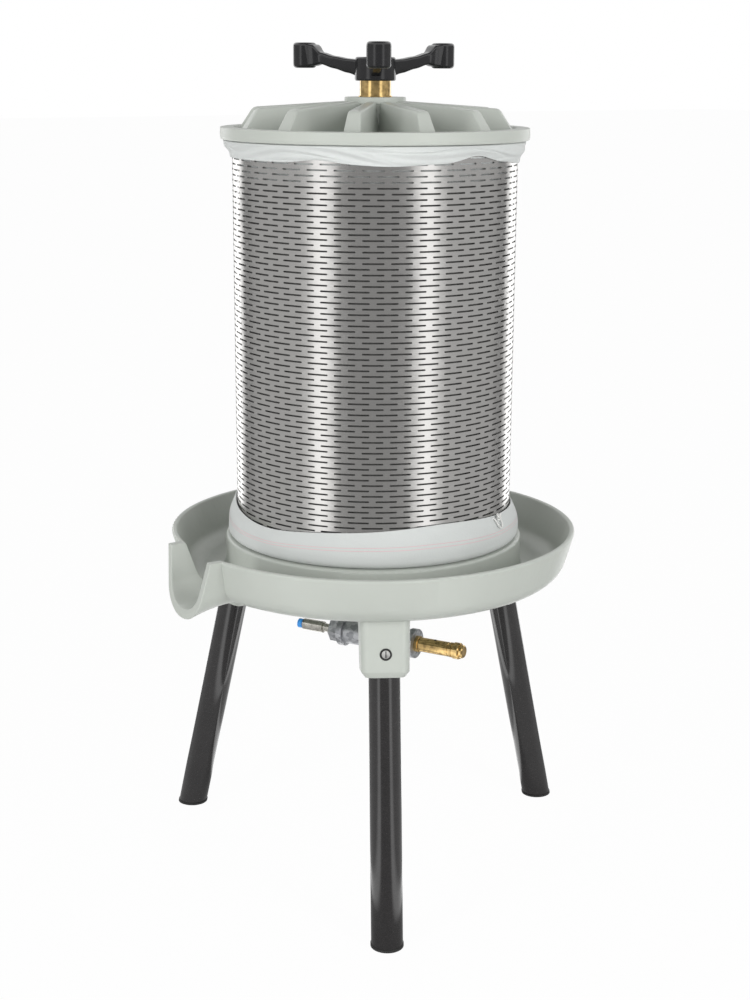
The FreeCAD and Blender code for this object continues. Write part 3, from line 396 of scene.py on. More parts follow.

# %% [markdown]
# New pieces. One helper makes a mesh from its points and faces, gives it a finish, lets it ride
# on its body and hides the CAD nodes that it stands for. Another one thickens an open sheet inwards,
# closing it along every free edge, because sheet steel and cloth are both made as sheets here.

# %% Piece helpers


def add_piece(name, points, faces, slot, body, replaced=(), finish=None, sharp=35.0):
    mesh = bpy.data.meshes.new(name)
    mesh.from_pydata(points, [], faces)
    mesh.validate()
    mesh.shade_smooth()
    mesh.set_sharp_from_angle(angle=math.radians(sharp))
    mesh.materials.append(FINISHES[finish or slot].material)
    piece = bpy.data.objects.new(name, mesh)
    bpy.context.scene.collection.objects.link(piece)
    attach(piece, body)
    if replaced:
        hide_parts(*replaced)
    print(name, len(mesh.polygons), "faces")
    return piece


def thickened(outer, inner, faces):
    """Points and faces of a sheet with an outer and an inner skin, closed along free edges."""
    count = len(outer)
    solid = list(faces)
    solid += [tuple(count + corner for corner in reversed(face)) for face in faces]
    used = {}
    for face in faces:
        for first, second in zip(face, face[1:] + face[:1]):
            used[(first, second)] = True
    for first, second in used:
        if (second, first) not in used:
            solid.append((second, first, count + first, count + second))
    return list(outer) + list(inner), solid


def around(radius, angle, height):
    """A point at that distance from the press axis, in row coordinates."""
    return (AXIS.x + radius * math.cos(angle), AXIS.y + radius * math.sin(angle), height)


def swept(lines):
    """Points and faces of lines that stand side by side round the axis."""
    count, rows = len(lines), len(lines[0])
    points = []
    for column, line in enumerate(lines):
        angle = 2 * math.pi * column / count
        bearing_from_x = CAMERA_TURN - math.pi / 2 + angle
        points += [around(radius, bearing_from_x, height) for radius, height in line]
    faces = []
    for column in range(count):
        following = (column + 1) % count
        for row in range(rows - 1):
            faces.append((column * rows + row, following * rows + row,
                          following * rows + row + 1, column * rows + row + 1))
    return points, faces


def rounded_line(corners, steps=4):
    """A line through corners (across, up, radius), with a smooth bend at each."""
    line = []
    for index, (across, up, radius) in enumerate(corners):
        here = Vector((across, up))
        if not radius:
            line.append((across, up))
            continue
        into = (here - Vector(corners[index - 1][:2])).normalized()
        out = (Vector(corners[(index + 1) % len(corners)][:2]) - here).normalized()
        reach = radius * math.tan(into.angle(out) / 2)
        start, end = here - into * reach, here + out * reach
        for step in range(steps + 1):
            share = step / steps
            bend = start * (1 - share) ** 2 + here * (2 * share * (1 - share)) + end * share ** 2
            line.append(tuple(bend))
    return line


# %% [markdown]
# The basket is a sleeve of stainless sheet with about two thousand level slots, each row turned
# by half a pitch against the next. Boolean cuts would be slow, so the sleeve is woven as a grid
# whose columns are the slot ends of both kinds of row: three grid cells of each pitch are left
# out in a slot's band and one stays as the land. The ends of the slots are drawn out at middle
# height, which rounds them.

# %% Slotted basket
SLOTS_AROUND = 33
SLOT_TURN = math.radians(-1.5)
SLOT_LENGTH = 24.4 * MM
SLOT_HEIGHT = 2.0 * MM
SLOT_ROUND = 0.8 * MM
ROW_PITCH = 6.54 * MM
SHEET_STEEL = 1.2 * MM


def basket_columns():
    """The angles of the grid's columns: slot ends of even rows and of odd rows."""
    pitch = 2 * math.pi / SLOTS_AROUND
    half = SLOT_LENGTH / 2 / BASKET_RADIUS
    inner = pitch / 2 - half
    columns = []
    for slot in range(SLOTS_AROUND):
        middle = SLOT_TURN + slot * pitch
        columns += [middle - half, middle - inner, middle + inner, middle + half]
    return columns


def slotted_sleeve():
    """Points as (angle, height), and faces, of the sleeve's outer skin."""
    columns = basket_columns()
    count = len(columns)
    height = basket_high.z - basket_low.z
    rows = int(height / ROW_PITCH) - 1
    first_row = (height - (rows - 1) * ROW_PITCH) / 2
    levels = [0.0]
    for row in range(rows):
        middle = first_row + row * ROW_PITCH
        levels += [middle - SLOT_HEIGHT / 2, middle + SLOT_HEIGHT / 2]
    levels.append(height)
    points = [(angle, level) for level in levels for angle in columns]
    faces = []
    drawn_out = SLOT_ROUND / BASKET_RADIUS
    for band in range(len(levels) - 1):
        in_slots = band % 2 == 1
        land = 3 if (band // 2) % 2 == 0 else 1
        for column in range(count):
            following = (column + 1) % count
            low_left, low_right = band * count + column, band * count + following
            high_left, high_right = low_left + count, low_right + count
            if not in_slots:
                faces.append((low_left, low_right, high_right, high_left))
            elif column % 4 == land:
                middle = (levels[band] + levels[band + 1]) / 2
                left = len(points)
                points.append((columns[column] + drawn_out, middle))
                points.append((columns[following] - drawn_out, middle))
                faces.append((low_left, low_right, left + 1, high_right, high_left, left))
    return points, faces


def make_basket():
    flat, faces = slotted_sleeve()
    outer = [around(BASKET_RADIUS, angle, basket_low.z + level) for angle, level in flat]
    inner = [around(BASKET_RADIUS - SHEET_STEEL, angle, basket_low.z + level) for angle, level in flat]
    points, solid = thickened(outer, inner, faces)
    return add_piece("slotted_basket", points, solid, "basket_steel", "basket_set", ["basket"])


basket = make_basket()

# %% [markdown]
# The castings again. CAD gives tray, lid and handle their forms, with some edges sharper than
# sand casting or moulding leaves them. A copy of the tray's mesh has its flat facets joined, and
# then every sharp edge is rounded a little, so that it catches a thread of light as the real one
# does. Lid and handle are built anew further on.

# %% Eased castings


def eased_copy(name, node, slot, body, width, joined=2.0, sharp=32.0):
    """A copy of a node's mesh with its sharp edges rounded by that width."""
    mesh = nodes[node].data.copy()
    work = bpy.data.objects.new(name + "_work", mesh)
    bpy.context.scene.collection.objects.link(work)
    weld = work.modifiers.new("weld", "WELD")
    weld.merge_threshold = 0.01 * MM
    flat = work.modifiers.new("flat", "DECIMATE")
    flat.decimate_type = "DISSOLVE"
    flat.angle_limit = math.radians(joined)
    ease = work.modifiers.new("ease", "BEVEL")
    ease.width = width
    ease.segments = 3
    ease.limit_method = "ANGLE"
    ease.angle_limit = math.radians(sharp)
    ease.miter_outer = "MITER_ARC"
    view_layer = bpy.context.evaluated_depsgraph_get()
    result = bpy.data.meshes.new_from_object(work.evaluated_get(view_layer))
    bpy.data.objects.remove(work)
    bpy.data.meshes.remove(mesh)
    result.name = name
    result.shade_smooth()
    result.set_sharp_from_angle(angle=math.radians(40.0))
    result.materials.clear()
    result.materials.append(FINISHES[slot].material)
    piece = bpy.data.objects.new(name, result)
    bpy.context.scene.collection.objects.link(piece)
    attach(piece, body)
    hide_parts(node)
    print(name, len(result.polygons), "faces")
    return piece


tray = eased_copy("cast_tray", "tray", "cast_paint", "root", 1.2 * MM)

# %% [markdown]
# The lid is a plate with a rim and a boss, stiffened by twelve ribs. The pattern maker gives
# each rib drafted flanks, a rounded back and a fillet at its foot, so that it leaves the sand
# cleanly. The plate is one line turned round the axis. A rib is a row of sections along its
# length, each as high as the rib's back there, so that the shoulder slopes down to the rim.

# %% Ribbed lid
RIBS = 12
RIB_TURN = math.radians(17.2)
RIB_HALF = 10.2 * MM
RIB_DRAFT = math.tan(math.radians(6.0))
RIB_FILLET = 3.5 * MM
RIB_ROUND = 3.4 * MM
RIB_START = 28.0 * MM
RIB_SHOULDER = 151.5 * MM
RIB_END = 169.0 * MM
RIM_RADIUS = 189.3 * MM
RIM_WIDTH = 17.0 * MM
BORE_RADIUS = 12.6 * MM
BOSS_RADIUS = 36.0 * MM
SPIGOT_DEPTH = 6.0 * MM
LID_FACE = LID_LOW + SPIGOT_DEPTH
PLATE_TOP = LID_FACE + 10.0 * MM
RIM_TOP = LID_FACE + 14.3 * MM


def lid_line():
    """The turned part of the lid, counter-clockwise from its bore's lower edge."""
    return rounded_line([
        (BORE_RADIUS, LID_FACE, 0),
        (159.5 * MM, LID_FACE, 0.5 * MM),
        (159.5 * MM, LID_LOW, 0.8 * MM),
        (169.5 * MM, LID_LOW, 0.8 * MM),
        (169.5 * MM, LID_FACE, 0.5 * MM),
        (RIM_RADIUS - 1.0 * MM, LID_FACE, 1.5 * MM),
        (RIM_RADIUS, LID_FACE + 4.0 * MM, 2.0 * MM),
        (RIM_RADIUS - 0.4 * MM, RIM_TOP, 1.1 * MM),
        (RIM_RADIUS - RIM_WIDTH, RIM_TOP + 0.3 * MM, 1.2 * MM),
        (RIM_RADIUS - RIM_WIDTH - 2.0 * MM, PLATE_TOP, 3.0 * MM),
        (BOSS_RADIUS + 1.5 * MM, PLATE_TOP, 5.0 * MM),
        (BOSS_RADIUS, LID_HIGH - 8.6 * MM, 1.5 * MM),
        (BOSS_RADIUS + 1.4 * MM, LID_HIGH - 7.6 * MM, 0.8 * MM),
        (BOSS_RADIUS + 1.4 * MM, LID_HIGH, 1.6 * MM),
        (BORE_RADIUS, LID_HIGH, 0.4 * MM),
        (BORE_RADIUS, LID_FACE, 0),
    ])


def rib_back():
    """The rib's upper line as (distance from the axis, height)."""
    line = rounded_line([
        (RIB_START, LID_HIGH - 4.6 * MM, 0),
        (RIB_SHOULDER, LID_FACE + 37.0 * MM, 9.0 * MM),
        (RIB_END, PLATE_TOP, 2.0 * MM),
        (RIB_END + 4.0 * MM, PLATE_TOP - 1.0 * MM, 0),
    ], 7)
    return line


def rib_section(height):
    """Half of a section across the rib, as (aside, up), from its foot to the middle of its back."""
    foot = PLATE_TOP - 1.0 * MM
    tall = max(height - foot, 0.4 * MM)
    fillet = min(RIB_FILLET, tall * 0.3)
    bend = min(RIB_ROUND, tall * 0.35)
    top_half = RIB_HALF - tall * RIB_DRAFT
    return rounded_line([
        (RIB_HALF + fillet * 1.6, foot, 0),
        (RIB_HALF + fillet * 0.1, foot + 0.9 * MM, fillet),
        (top_half, foot + tall, bend),
        (0.0, foot + tall + 0.3 * MM, 0),
    ])


def add_rib(points, faces, angle):
    back = rib_back()
    start = len(points)
    across = 0
    for reach, height in back:
        half = rib_section(height)
        whole = half + [(-aside, up) for aside, up in reversed(half[:-1])]
        across = len(whole)
        for aside, up in whole:
            points.append((
                AXIS.x + reach * math.cos(angle) - aside * math.sin(angle),
                AXIS.y + reach * math.sin(angle) + aside * math.cos(angle),
                up,
            ))
    for step in range(len(back) - 1):
        for item in range(across - 1):
            corner = start + step * across + item
            faces.append((corner, corner + across, corner + across + 1, corner + 1))


def make_lid():
    line = lid_line()
    points, faces = swept([line] * 240)
    for rib in range(RIBS):
        add_rib(points, faces, RIB_TURN + 2 * math.pi * rib / RIBS)
    return add_piece("ribbed_lid", points, faces, "cast_paint", "lid_set", ["lid"], sharp=44.0)


lid = make_lid()

# %% [markdown]
# The star handle is one glossy moulding: a hub on the bush's neck and three arms that rise to
# drum-shaped knobs. An arm is a row of rounded sections, narrow below and wider above, whose
# sizes ease from one station to the next; the knobs and the hub are turned about upright axes.

# %% Star handle
HANDLE_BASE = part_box("star_handle")[0].z
ARMS = 3
ARM_TURN = math.radians(88.5)
ARM_STATIONS = (
    # reach, half width, keel, lower edge, upper edge
    (17.0 * MM, 10.0 * MM, 6.0 * MM, 3.5 * MM, 24.5 * MM),
    (36.0 * MM, 9.0 * MM, 5.6 * MM, 9.0 * MM, 26.0 * MM),
    (56.0 * MM, 8.4 * MM, 5.4 * MM, 14.2 * MM, 29.0 * MM),
    (74.0 * MM, 8.8 * MM, 6.2 * MM, 19.3 * MM, 33.5 * MM),
    (83.0 * MM, 11.4 * MM, 9.2 * MM, 17.2 * MM, 42.4 * MM),
    (94.0 * MM, 13.2 * MM, 11.2 * MM, 15.8 * MM, 44.2 * MM),
)
KNOB_REACH = 98.6 * MM
KNOB_RADIUS = 14.5 * MM
KNOB_LOW = 14.6 * MM
KNOB_HIGH = 45.1 * MM
HUB_RADIUS = 25.0 * MM
HUB_TOP = 28.0 * MM
NECK_TOP = 24.0 * MM
NECK_RADIUS = 16.0 * MM


def turned_about(centre, line, columns=40):
    """Points and faces of a (radius, height) line turned about an upright axis."""
    rows = len(line)
    points, faces = [], []
    for column in range(columns):
        angle = 2 * math.pi * column / columns
        points += [(centre[0] + radius * math.cos(angle), centre[1] + radius * math.sin(angle), height)
                   for radius, height in line]
        following = (column + 1) % columns
        for row in range(rows - 1):
            faces.append((column * rows + row, following * rows + row,
                          following * rows + row + 1, column * rows + row + 1))
    return points, faces


def joined_shape(points, faces, more_points, more_faces):
    start = len(points)
    points += more_points
    faces += [tuple(start + corner for corner in face) for face in more_faces]


def eased_stations(steps=5):
    """The arm's stations, with steps between them that start and stop gently."""
    rows = []
    for before, after in zip(ARM_STATIONS, ARM_STATIONS[1:]):
        for step in range(steps):
            share = step / steps
            soft = share * share * (3 - 2 * share)
            reach = before[0] + (after[0] - before[0]) * share
            rows.append([reach] + [a + (b - a) * (0.4 * share + 0.6 * soft)
                                   for a, b in zip(before[1:], after[1:])])
    rows.append(list(ARM_STATIONS[-1]))
    return rows


def arm_shape(angle):
    points, faces = [], []
    rows = eased_stations()
    across = 0
    for reach, half, keel, low, high in rows:
        loop = rounded_line([(-keel, low, 3.4 * MM), (keel, low, 3.4 * MM),
                             (half, high, 4.2 * MM), (-half, high, 4.2 * MM)], 5)
        across = len(loop)
        for aside, up in loop:
            points.append((
                AXIS.x + reach * math.cos(angle) - aside * math.sin(angle),
                AXIS.y + reach * math.sin(angle) + aside * math.cos(angle),
                HANDLE_BASE + up,
            ))
    for row in range(len(rows) - 1):
        for item in range(across):
            following = (item + 1) % across
            faces.append((row * across + item, row * across + following,
                          (row + 1) * across + following, (row + 1) * across + item))
    return points, faces


def make_handle():
    base = HANDLE_BASE
    hub = rounded_line([
        (NECK_RADIUS, base + NECK_TOP, 0),
        (NECK_RADIUS, base, 0.4 * MM),
        (HUB_RADIUS, base, 2.6 * MM),
        (HUB_RADIUS - 0.6 * MM, base + HUB_TOP, 3.2 * MM),
        (0.05 * MM, base + HUB_TOP, 0),
    ], 5)
    points, faces = turned_about((AXIS.x, AXIS.y), hub, 72)
    knob = rounded_line([
        (0.05 * MM, base + KNOB_LOW, 0),
        (KNOB_RADIUS, base + KNOB_LOW, 5.2 * MM),
        (KNOB_RADIUS, base + KNOB_HIGH, 5.2 * MM),
        (0.05 * MM, base + KNOB_HIGH, 0),
    ], 8)
    for arm in range(ARMS):
        angle = ARM_TURN + 2 * math.pi * arm / ARMS
        joined_shape(points, faces, *arm_shape(angle))
        centre = (AXIS.x + KNOB_REACH * math.cos(angle), AXIS.y + KNOB_REACH * math.sin(angle))
        joined_shape(points, faces, *turned_about(centre, knob, 48))
    return add_piece("moulded_handle", points, faces, "black_handle", "star_nut",
                     ["star_handle"], sharp=50.0)


handle = make_handle()

# %% [markdown]
# The set screws clamp the legs in their sockets. Each is a bright disc in a counterbore, and
# the counterbore's floor and the disc's slot are drawn in black: painted shade. Its place is read
# from the node itself: the farthest face outwards of the screw that stands on that leg's side.

# %% Set screws
LEG_TURNS = (90.0, 210.0, 330.0)
SPLAY = math.radians(13.13)
SCREW_RADIUS = 4.9 * MM
BORE_RING = 7.4 * MM
SCREW_SLOT = (1.2 * MM, 8.4 * MM)


def screw_place(turn):
    """The middle of a screw's outer face, and its outward, level and upward directions."""
    flat = Vector((math.cos(math.radians(turn)), math.sin(math.radians(turn)), 0.0))
    outward = flat * math.cos(SPLAY) + Vector((0, 0, math.sin(SPLAY)))
    level = Vector((-flat.y, flat.x, 0.0))
    upward = outward.cross(level)
    near = [corner.co for corner in nodes["leg_set_screws"].data.vertices
            if (corner.co - AXIS).xy.normalized() @ flat.xy > 0.8]
    farthest = max(corner @ outward for corner in near)
    face = [corner for corner in near if farthest - corner @ outward < 0.2 * MM]
    middle = sum(face, Vector()) / len(face)
    return middle, outward, level, upward


def disc(middle, outward, level, upward, line, columns=32):
    """A (radius, height) line turned about an axis that points outward from a place."""
    rows = len(line)
    points, faces = [], []
    for column in range(columns):
        angle = 2 * math.pi * column / columns
        aside = level * math.cos(angle) + upward * math.sin(angle)
        points += [tuple(middle + aside * radius + outward * rise) for radius, rise in line]
        following = (column + 1) % columns
        for row in range(rows - 1):
            faces.append((column * rows + row, following * rows + row,
                          following * rows + row + 1, column * rows + row + 1))
    return points, faces


def make_screws():
    heads, rings = ([], []), ([], [])
    for turn in LEG_TURNS:
        middle, outward, level, upward = screw_place(turn)
        head = rounded_line([(SCREW_RADIUS, -2.0 * MM, 0), (SCREW_RADIUS, -0.1 * MM, 0.5 * MM),
                             (0.05 * MM, 0.0, 0)])
        joined_shape(*heads, *disc(middle, outward, level, upward, head))
        # A black ring round the head, below its face: painted shade for the counterbore.
        counterbore_shade = [(BORE_RING, -1.9 * MM), (BORE_RING - 0.3 * MM, -1.2 * MM),
                (SCREW_RADIUS - 0.1 * MM, -1.2 * MM)]
        joined_shape(*rings, *disc(middle, outward, level, upward, counterbore_shade))
        width, length = SCREW_SLOT
        # A black quad just over the head: painted shade for the slot, which is not cut.
        corners = [(-1, -1), (1, -1), (1, 1), (-1, 1)]
        slot = [tuple(middle + level * (side * width / 2) + upward * (rise * length / 2)
                      + outward * 0.06 * MM) for side, rise in corners]
        joined_shape(*rings, slot, [(0, 1, 2, 3)])
    bright = add_piece("screw_heads", *heads, "zinc_steel", "root", ["leg_set_screws"],
                       finish="screw_steel")
    # Rings and slots together in black plastic, as painted shade.
    shade_piece = add_piece("screw_shade_marks", *rings, "black_plastic", "root")
    return bright, shade_piece


screws = make_screws()

# %% [markdown]
# The safety valve is turned from brass bar: a collar where it is screwed in, a plain body with
# a vent, and a cap with two grooves and a short nose. The vent is not cut: a thin black disc on
# the body stands for it, as painted shade. Its line runs along the pipe, whose direction and
# height come from the record's own mount for the air hose.

# %% Safety valve
HOSE_MOUNT = next(mount for mount in frame["record"]["mounts"] if mount["name"] == "air_hose_socket")
RUN_WAY = -Vector(HOSE_MOUNT["axis"]).normalized()
RUN_START = Vector((AXIS.x, AXIS.y, HOSE_MOUNT["pos_m"][2]))
RUN_LEVEL = Vector((RUN_WAY.y, -RUN_WAY.x, 0.0))
VALVE_START = 65.05 * MM
VALVE_LINE = ((0.0, 10.7), (4.2, 10.7), (4.8, 9.2), (6.4, 9.4), (46.4, 9.4), (46.9, 8.7), (48.3, 8.7),
              (48.8, 9.7), (52.0, 9.7), (52.4, 8.9), (53.8, 8.9), (54.4, 10.8), (61.6, 10.8),
              (62.8, 10.0), (63.0, 8.6), (66.4, 8.6), (67.9, 7.4), (67.9, 0.05))
VENT_PLACE = 26.6 * MM
VENT_RADIUS = 2.0 * MM


def make_valve():
    line = [(radius * MM, place * MM) for place, radius in VALVE_LINE]
    start = RUN_START + RUN_WAY * VALVE_START
    points, faces = disc(start, RUN_WAY, RUN_LEVEL, Vector((0, 0, 1)), line, 48)
    faces = [tuple(reversed(face)) for face in faces]
    valve = add_piece("turned_valve", points, faces, "brass", "root", ["valve_body", "valve_cap"],
                      sharp=28.0)
    # A thin black disc on top of the body: painted shade for the vent's hole.
    over = start + RUN_WAY * VENT_PLACE + Vector((0, 0, 9.35 * MM))
    vent = [(VENT_RADIUS, 0.0), (VENT_RADIUS * 0.9, 0.15 * MM), (0.05 * MM, 0.12 * MM)]
    vent_shade_disc = add_piece("valve_vent", *disc(over, Vector((0, 0, 1)), RUN_WAY, RUN_LEVEL, vent),
                     "black_plastic", "root")
    return valve, vent_shade_disc


valve = make_valve()

# %% [markdown]
# The press cloth is one sleeve of white polyester. It hangs inside the basket a little clear of
# the wall, comes out over the top edge, where the lid clamps it, and out under the bottom edge,
# where a drawstring in its hem gathers it against the steel. So its skin is one line, from hem
# to hem, swept round the axis; angles are counted from the camera, so that a dip of the hem can
# be set where the photograph shows it. Folds come from noise that is stretched round the sleeve.

# %% Press cloth
CLOTH_THICK = 1.2 * MM
CLOTH_COLUMNS = 300
CLOTH_LOW, CLOTH_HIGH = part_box("press_cloth")
# The painted shade on the cloth inside the basket ends this far below the cloth's top.
PAINTED_SHADE_BELOW = CLOTH_HIGH.z - 40 * MM
SLEEVE = BASKET_RADIUS - 9.8 * MM
NECK = BASKET_RADIUS - 2.2 * MM
LOWER_HEM = basket_low.z + 40.0 * MM
LOWER_DIPS = ((-48.0, -8.0, 24.0), (-104.0, 10.0, 16.0), (28.0, 7.0, 26.0))
UPPER_HEM = 912.5 * MM
UPPER_DIPS = ((-22.0, 4.0, 9.0), (42.0, 8.0, 9.0), (78.0, -5.0, 13.0), (5.0, -2.5, 13.0),
              (120.0, 4.0, 15.0), (160.0, -4.0, 18.0), (-115.0, 4.0, 14.0), (-150.0, -3.0, 16.0))


def hem_height(level, dips, angle):
    """The height of a hem: its level, and dips of (degrees, millimetres, half width)."""
    for middle, rise, width in dips:
        apart = (math.degrees(angle) - middle + 180.0) % 360.0 - 180.0
        level += rise * MM * math.exp(-((apart / width) ** 2))
    return level


def fold_noise(angle, height, around_size, upright_size, seed):
    """Noise between -1 and 1, with features longer round the sleeve than up it."""
    spot = Vector((math.cos(angle) * BASKET_RADIUS / around_size,
                   math.sin(angle) * BASKET_RADIUS / around_size, height / upright_size + seed))
    return noise.noise(spot)


def lower_band(angle):
    """From the lower hem down the outside of the basket and in under its edge."""
    hem = hem_height(LOWER_HEM, LOWER_DIPS, angle)
    foot = CLOTH_LOW.z + CLOTH_THICK / 2
    full = BASKET_RADIUS + 11.0 * MM
    tight = BASKET_RADIUS + 1.4 * MM
    rows = 16
    line = []
    for row in range(rows + 1):
        share = row / rows
        height = hem + (foot + 7.0 * MM - hem) * share
        swell = math.sin(math.pi / 2 * min(1.0, share / 0.8)) ** 0.9
        folds = fold_noise(angle, height, 0.05, 0.02, 3.0) * 1.2 * MM * math.sin(math.pi * share)
        line.append((tight + (full - tight) * swell + folds, height))
    for turn in (25, 50, 75, 90):
        bend = math.radians(turn)
        line.append((full - 6.4 * MM * (1 - math.cos(bend)),
                     foot + 7.0 * MM * (1 - math.sin(bend))))
    line.append((BASKET_RADIUS, foot))
    line.append((SLEEVE + 3 * MM, foot))
    line.append((SLEEVE, foot + 3 * MM))
    return line


def sleeve_line(angle):
    """Up the inside of the basket, with soft slack folds, to where the lid pinches it."""
    low, high = CLOTH_LOW.z + 20 * MM, CLOTH_HIGH.z - 46 * MM
    rows = 26
    line = []
    for row in range(rows + 1):
        height = low + (high - low) * row / rows
        edge = min(1.0, 5 * row / rows, 5 * (rows - row) / rows)
        line.append((SLEEVE + fold_noise(angle, height, 0.06, 0.20, 9.0) * 2.5 * MM * edge, height))
    line.append((SLEEVE + 3.5 * MM, high + 16 * MM))
    line.append((NECK, high + 29 * MM))
    line.append((NECK, CLOTH_HIGH.z - 4 * MM))
    return line


def upper_band(angle):
    """Out over the basket's top edge, squeezed out under the lid, and down to the upper hem."""
    hem = hem_height(UPPER_HEM, UPPER_DIPS, angle)
    top = CLOTH_HIGH.z - CLOTH_THICK / 2
    puff = 9.5 * MM + 2.5 * MM * fold_noise(angle, top, 0.05, 1.0, 5.0)
    line = [(NECK, top - 0.5 * MM), (BASKET_RADIUS, top), (BASKET_RADIUS + puff * 0.75, top),
            (BASKET_RADIUS + puff, top - 1.2 * MM)]
    rows = 30
    for row in range(1, rows + 1):
        share = row / rows
        height = top - 1.2 * MM + (hem - top + 1.2 * MM) * share
        slack = math.sin(math.pi * min(1.0, share * 1.02)) ** 0.7
        lean = 0.012 * math.sin(angle * 2.0) + 0.006 * math.sin(angle * 5.0 + 1.0)
        ridges = fold_noise(angle, height + lean, 0.11, 0.0085, 7.0)
        crease = max(0.0, 1.0 - abs(fold_noise(angle, height + lean, 0.15, 0.016, 15.0)) / 0.10)
        line.append((BASKET_RADIUS + puff * (1 - share) ** 0.9 + 1.6 * MM * share
                     + (ridges * 6.0 - crease * 1.9) * MM * slack, height))
    return line


def skinned(line, half):
    """A line in (radius, height), moved sideways by half a thickness."""
    moved = []
    for index, (radius, height) in enumerate(line):
        before = line[max(0, index - 1)]
        after = line[min(len(line) - 1, index + 1)]
        run, rise = after[0] - before[0], after[1] - before[1]
        size = math.hypot(run, rise) or 1.0
        moved.append((radius + half * rise / size, height - half * run / size))
    return moved


def make_press_cloth():
    middles = []
    for column in range(CLOTH_COLUMNS):
        angle = 2 * math.pi * column / CLOTH_COLUMNS
        middles.append(lower_band(angle) + sleeve_line(angle) + upper_band(angle))
    one, faces = swept([skinned(line, -CLOTH_THICK / 2) for line in middles])
    other, _ = swept([skinned(line, CLOTH_THICK / 2) for line in middles])
    points, solid = thickened(one, other, faces)
    sleeve = add_piece("press_cloth_sleeve", points, solid, "cloth", "basket_set",
                       ["press_cloth"], sharp=60.0)
    # Faces inside the basket and below that height get the dark cloth: painted shade, seen through the
    # slots.
    sleeve.data.materials.append(FINISHES["cloth_in_painted_shade"].material)
    for face in sleeve.data.polygons:
        level = face.center.z
        wall = math.hypot(face.center.x - AXIS.x, face.center.y - AXIS.y)
        if wall < NECK and level < PAINTED_SHADE_BELOW:
            face.material_index = 1
    return sleeve, middles


cloth, cloth_lines = make_press_cloth()

# %% [markdown]
# A double seam runs round the turned-up part of the cloth, in thread that has faded to pink.
# Each row is a narrow ribbon that follows the cloth's own lines at a share of their height.

# %% Seams
SEAM_ROWS = (0.50, 0.60)
SEAM_WIDTH = 0.75 * MM
SEAM_STAND = 0.15 * MM


def make_seam(name, share):
    points, faces = [], []
    for column, line in enumerate(cloth_lines):
        angle = CAMERA_TURN - math.pi / 2 + 2 * math.pi * column / CLOTH_COLUMNS
        hem, foot = line[0], line[16]
        wander = 0.03 * math.sin(3 * angle + 1.0)
        place = (share + wander) * 16
        before = int(place)
        mixed = place - before
        radius = line[before][0] * (1 - mixed) + line[before + 1][0] * mixed
        height = hem[1] + (foot[1] - hem[1]) * (share + wander)
        stand = radius + CLOTH_THICK / 2 + SEAM_STAND
        points += [around(stand, angle, height - SEAM_WIDTH / 2),
                   around(stand, angle, height + SEAM_WIDTH / 2)]
    for column in range(CLOTH_COLUMNS):
        following = (column + 1) % CLOTH_COLUMNS
        faces.append((2 * column, 2 * following, 2 * following + 1, 2 * column + 1))
    return add_piece(name, points, faces, "cloth", "basket_set", finish="seam_thread")


seams = [make_seam("seam_%d" % (row + 1), share) for row, share in enumerate(SEAM_ROWS)]

# %% [markdown]
# The drawstring comes out of the hem, hangs in one small loop over the cloth and ends in its
# knot. A free cord is a smooth NURBS line with a round bevel, so its length can be measured;
# the knot is a tube along a trefoil, the plainest line that is truly knotted. The cord's
# thickness is written as the points' radius times a bevel of 1 m, because Blender counts the
# points' radius into the curve's box.

# %% Drawstring
CORD_TURN = math.radians(24.0)
CORD_DIAMETER = 2.0 * MM
CORD_ROUTE = (
    # degrees past the cord's place, distance from the axis, height
    (-2.6, 178.4 * MM, 480.4 * MM),
    (-2.2, 181.4 * MM, 480.0 * MM),
    (-1.5, 183.2 * MM, 474.5 * MM),
    (-0.5, 186.0 * MM, 468.5 * MM),
    (0.8, 186.6 * MM, 467.0 * MM),
    (1.8, 185.6 * MM, 471.0 * MM),
    (1.6, 183.2 * MM, 477.0 * MM),
    (0.5, 182.6 * MM, 481.5 * MM),
)
KNOT_SIZE = 1.5 * MM


def cord_point(turn, radius, height):
    return around(radius, CORD_TURN + math.radians(turn), height)


def line_length(curve_object):
    """The length of a curve, measured on the line that Blender makes of it."""
    bevel = curve_object.data.bevel_depth
    curve_object.data.bevel_depth = 0.0
    view_layer = bpy.context.evaluated_depsgraph_get()
    plain = bpy.data.meshes.new_from_object(curve_object.evaluated_get(view_layer))
    curve_object.data.bevel_depth = bevel
    places = [corner.co.copy() for corner in plain.vertices]
    bpy.data.meshes.remove(plain)
    return sum((two - one).length for one, two in zip(places, places[1:]))


def make_cord():
    curve = bpy.data.curves.new("drawstring_end", "CURVE")
    curve.dimensions = "3D"
    curve.bevel_depth = 1.0
    curve.bevel_resolution = 4
    curve.resolution_u = 16
    line = curve.splines.new("NURBS")
    line.points.add(len(CORD_ROUTE) - 1)
    for point, route in zip(line.points, CORD_ROUTE):
        point.co = (*cord_point(*route), 1.0)
        point.radius = CORD_DIAMETER / 2
    line.order_u = 3
    line.use_endpoint_u = True
    curve.materials.append(FINISHES["cord"].material)
    cord = bpy.data.objects.new("drawstring_end", curve)
    bpy.context.scene.collection.objects.link(cord)
    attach(cord, "basket_set")
    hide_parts("drawstring")
    return cord


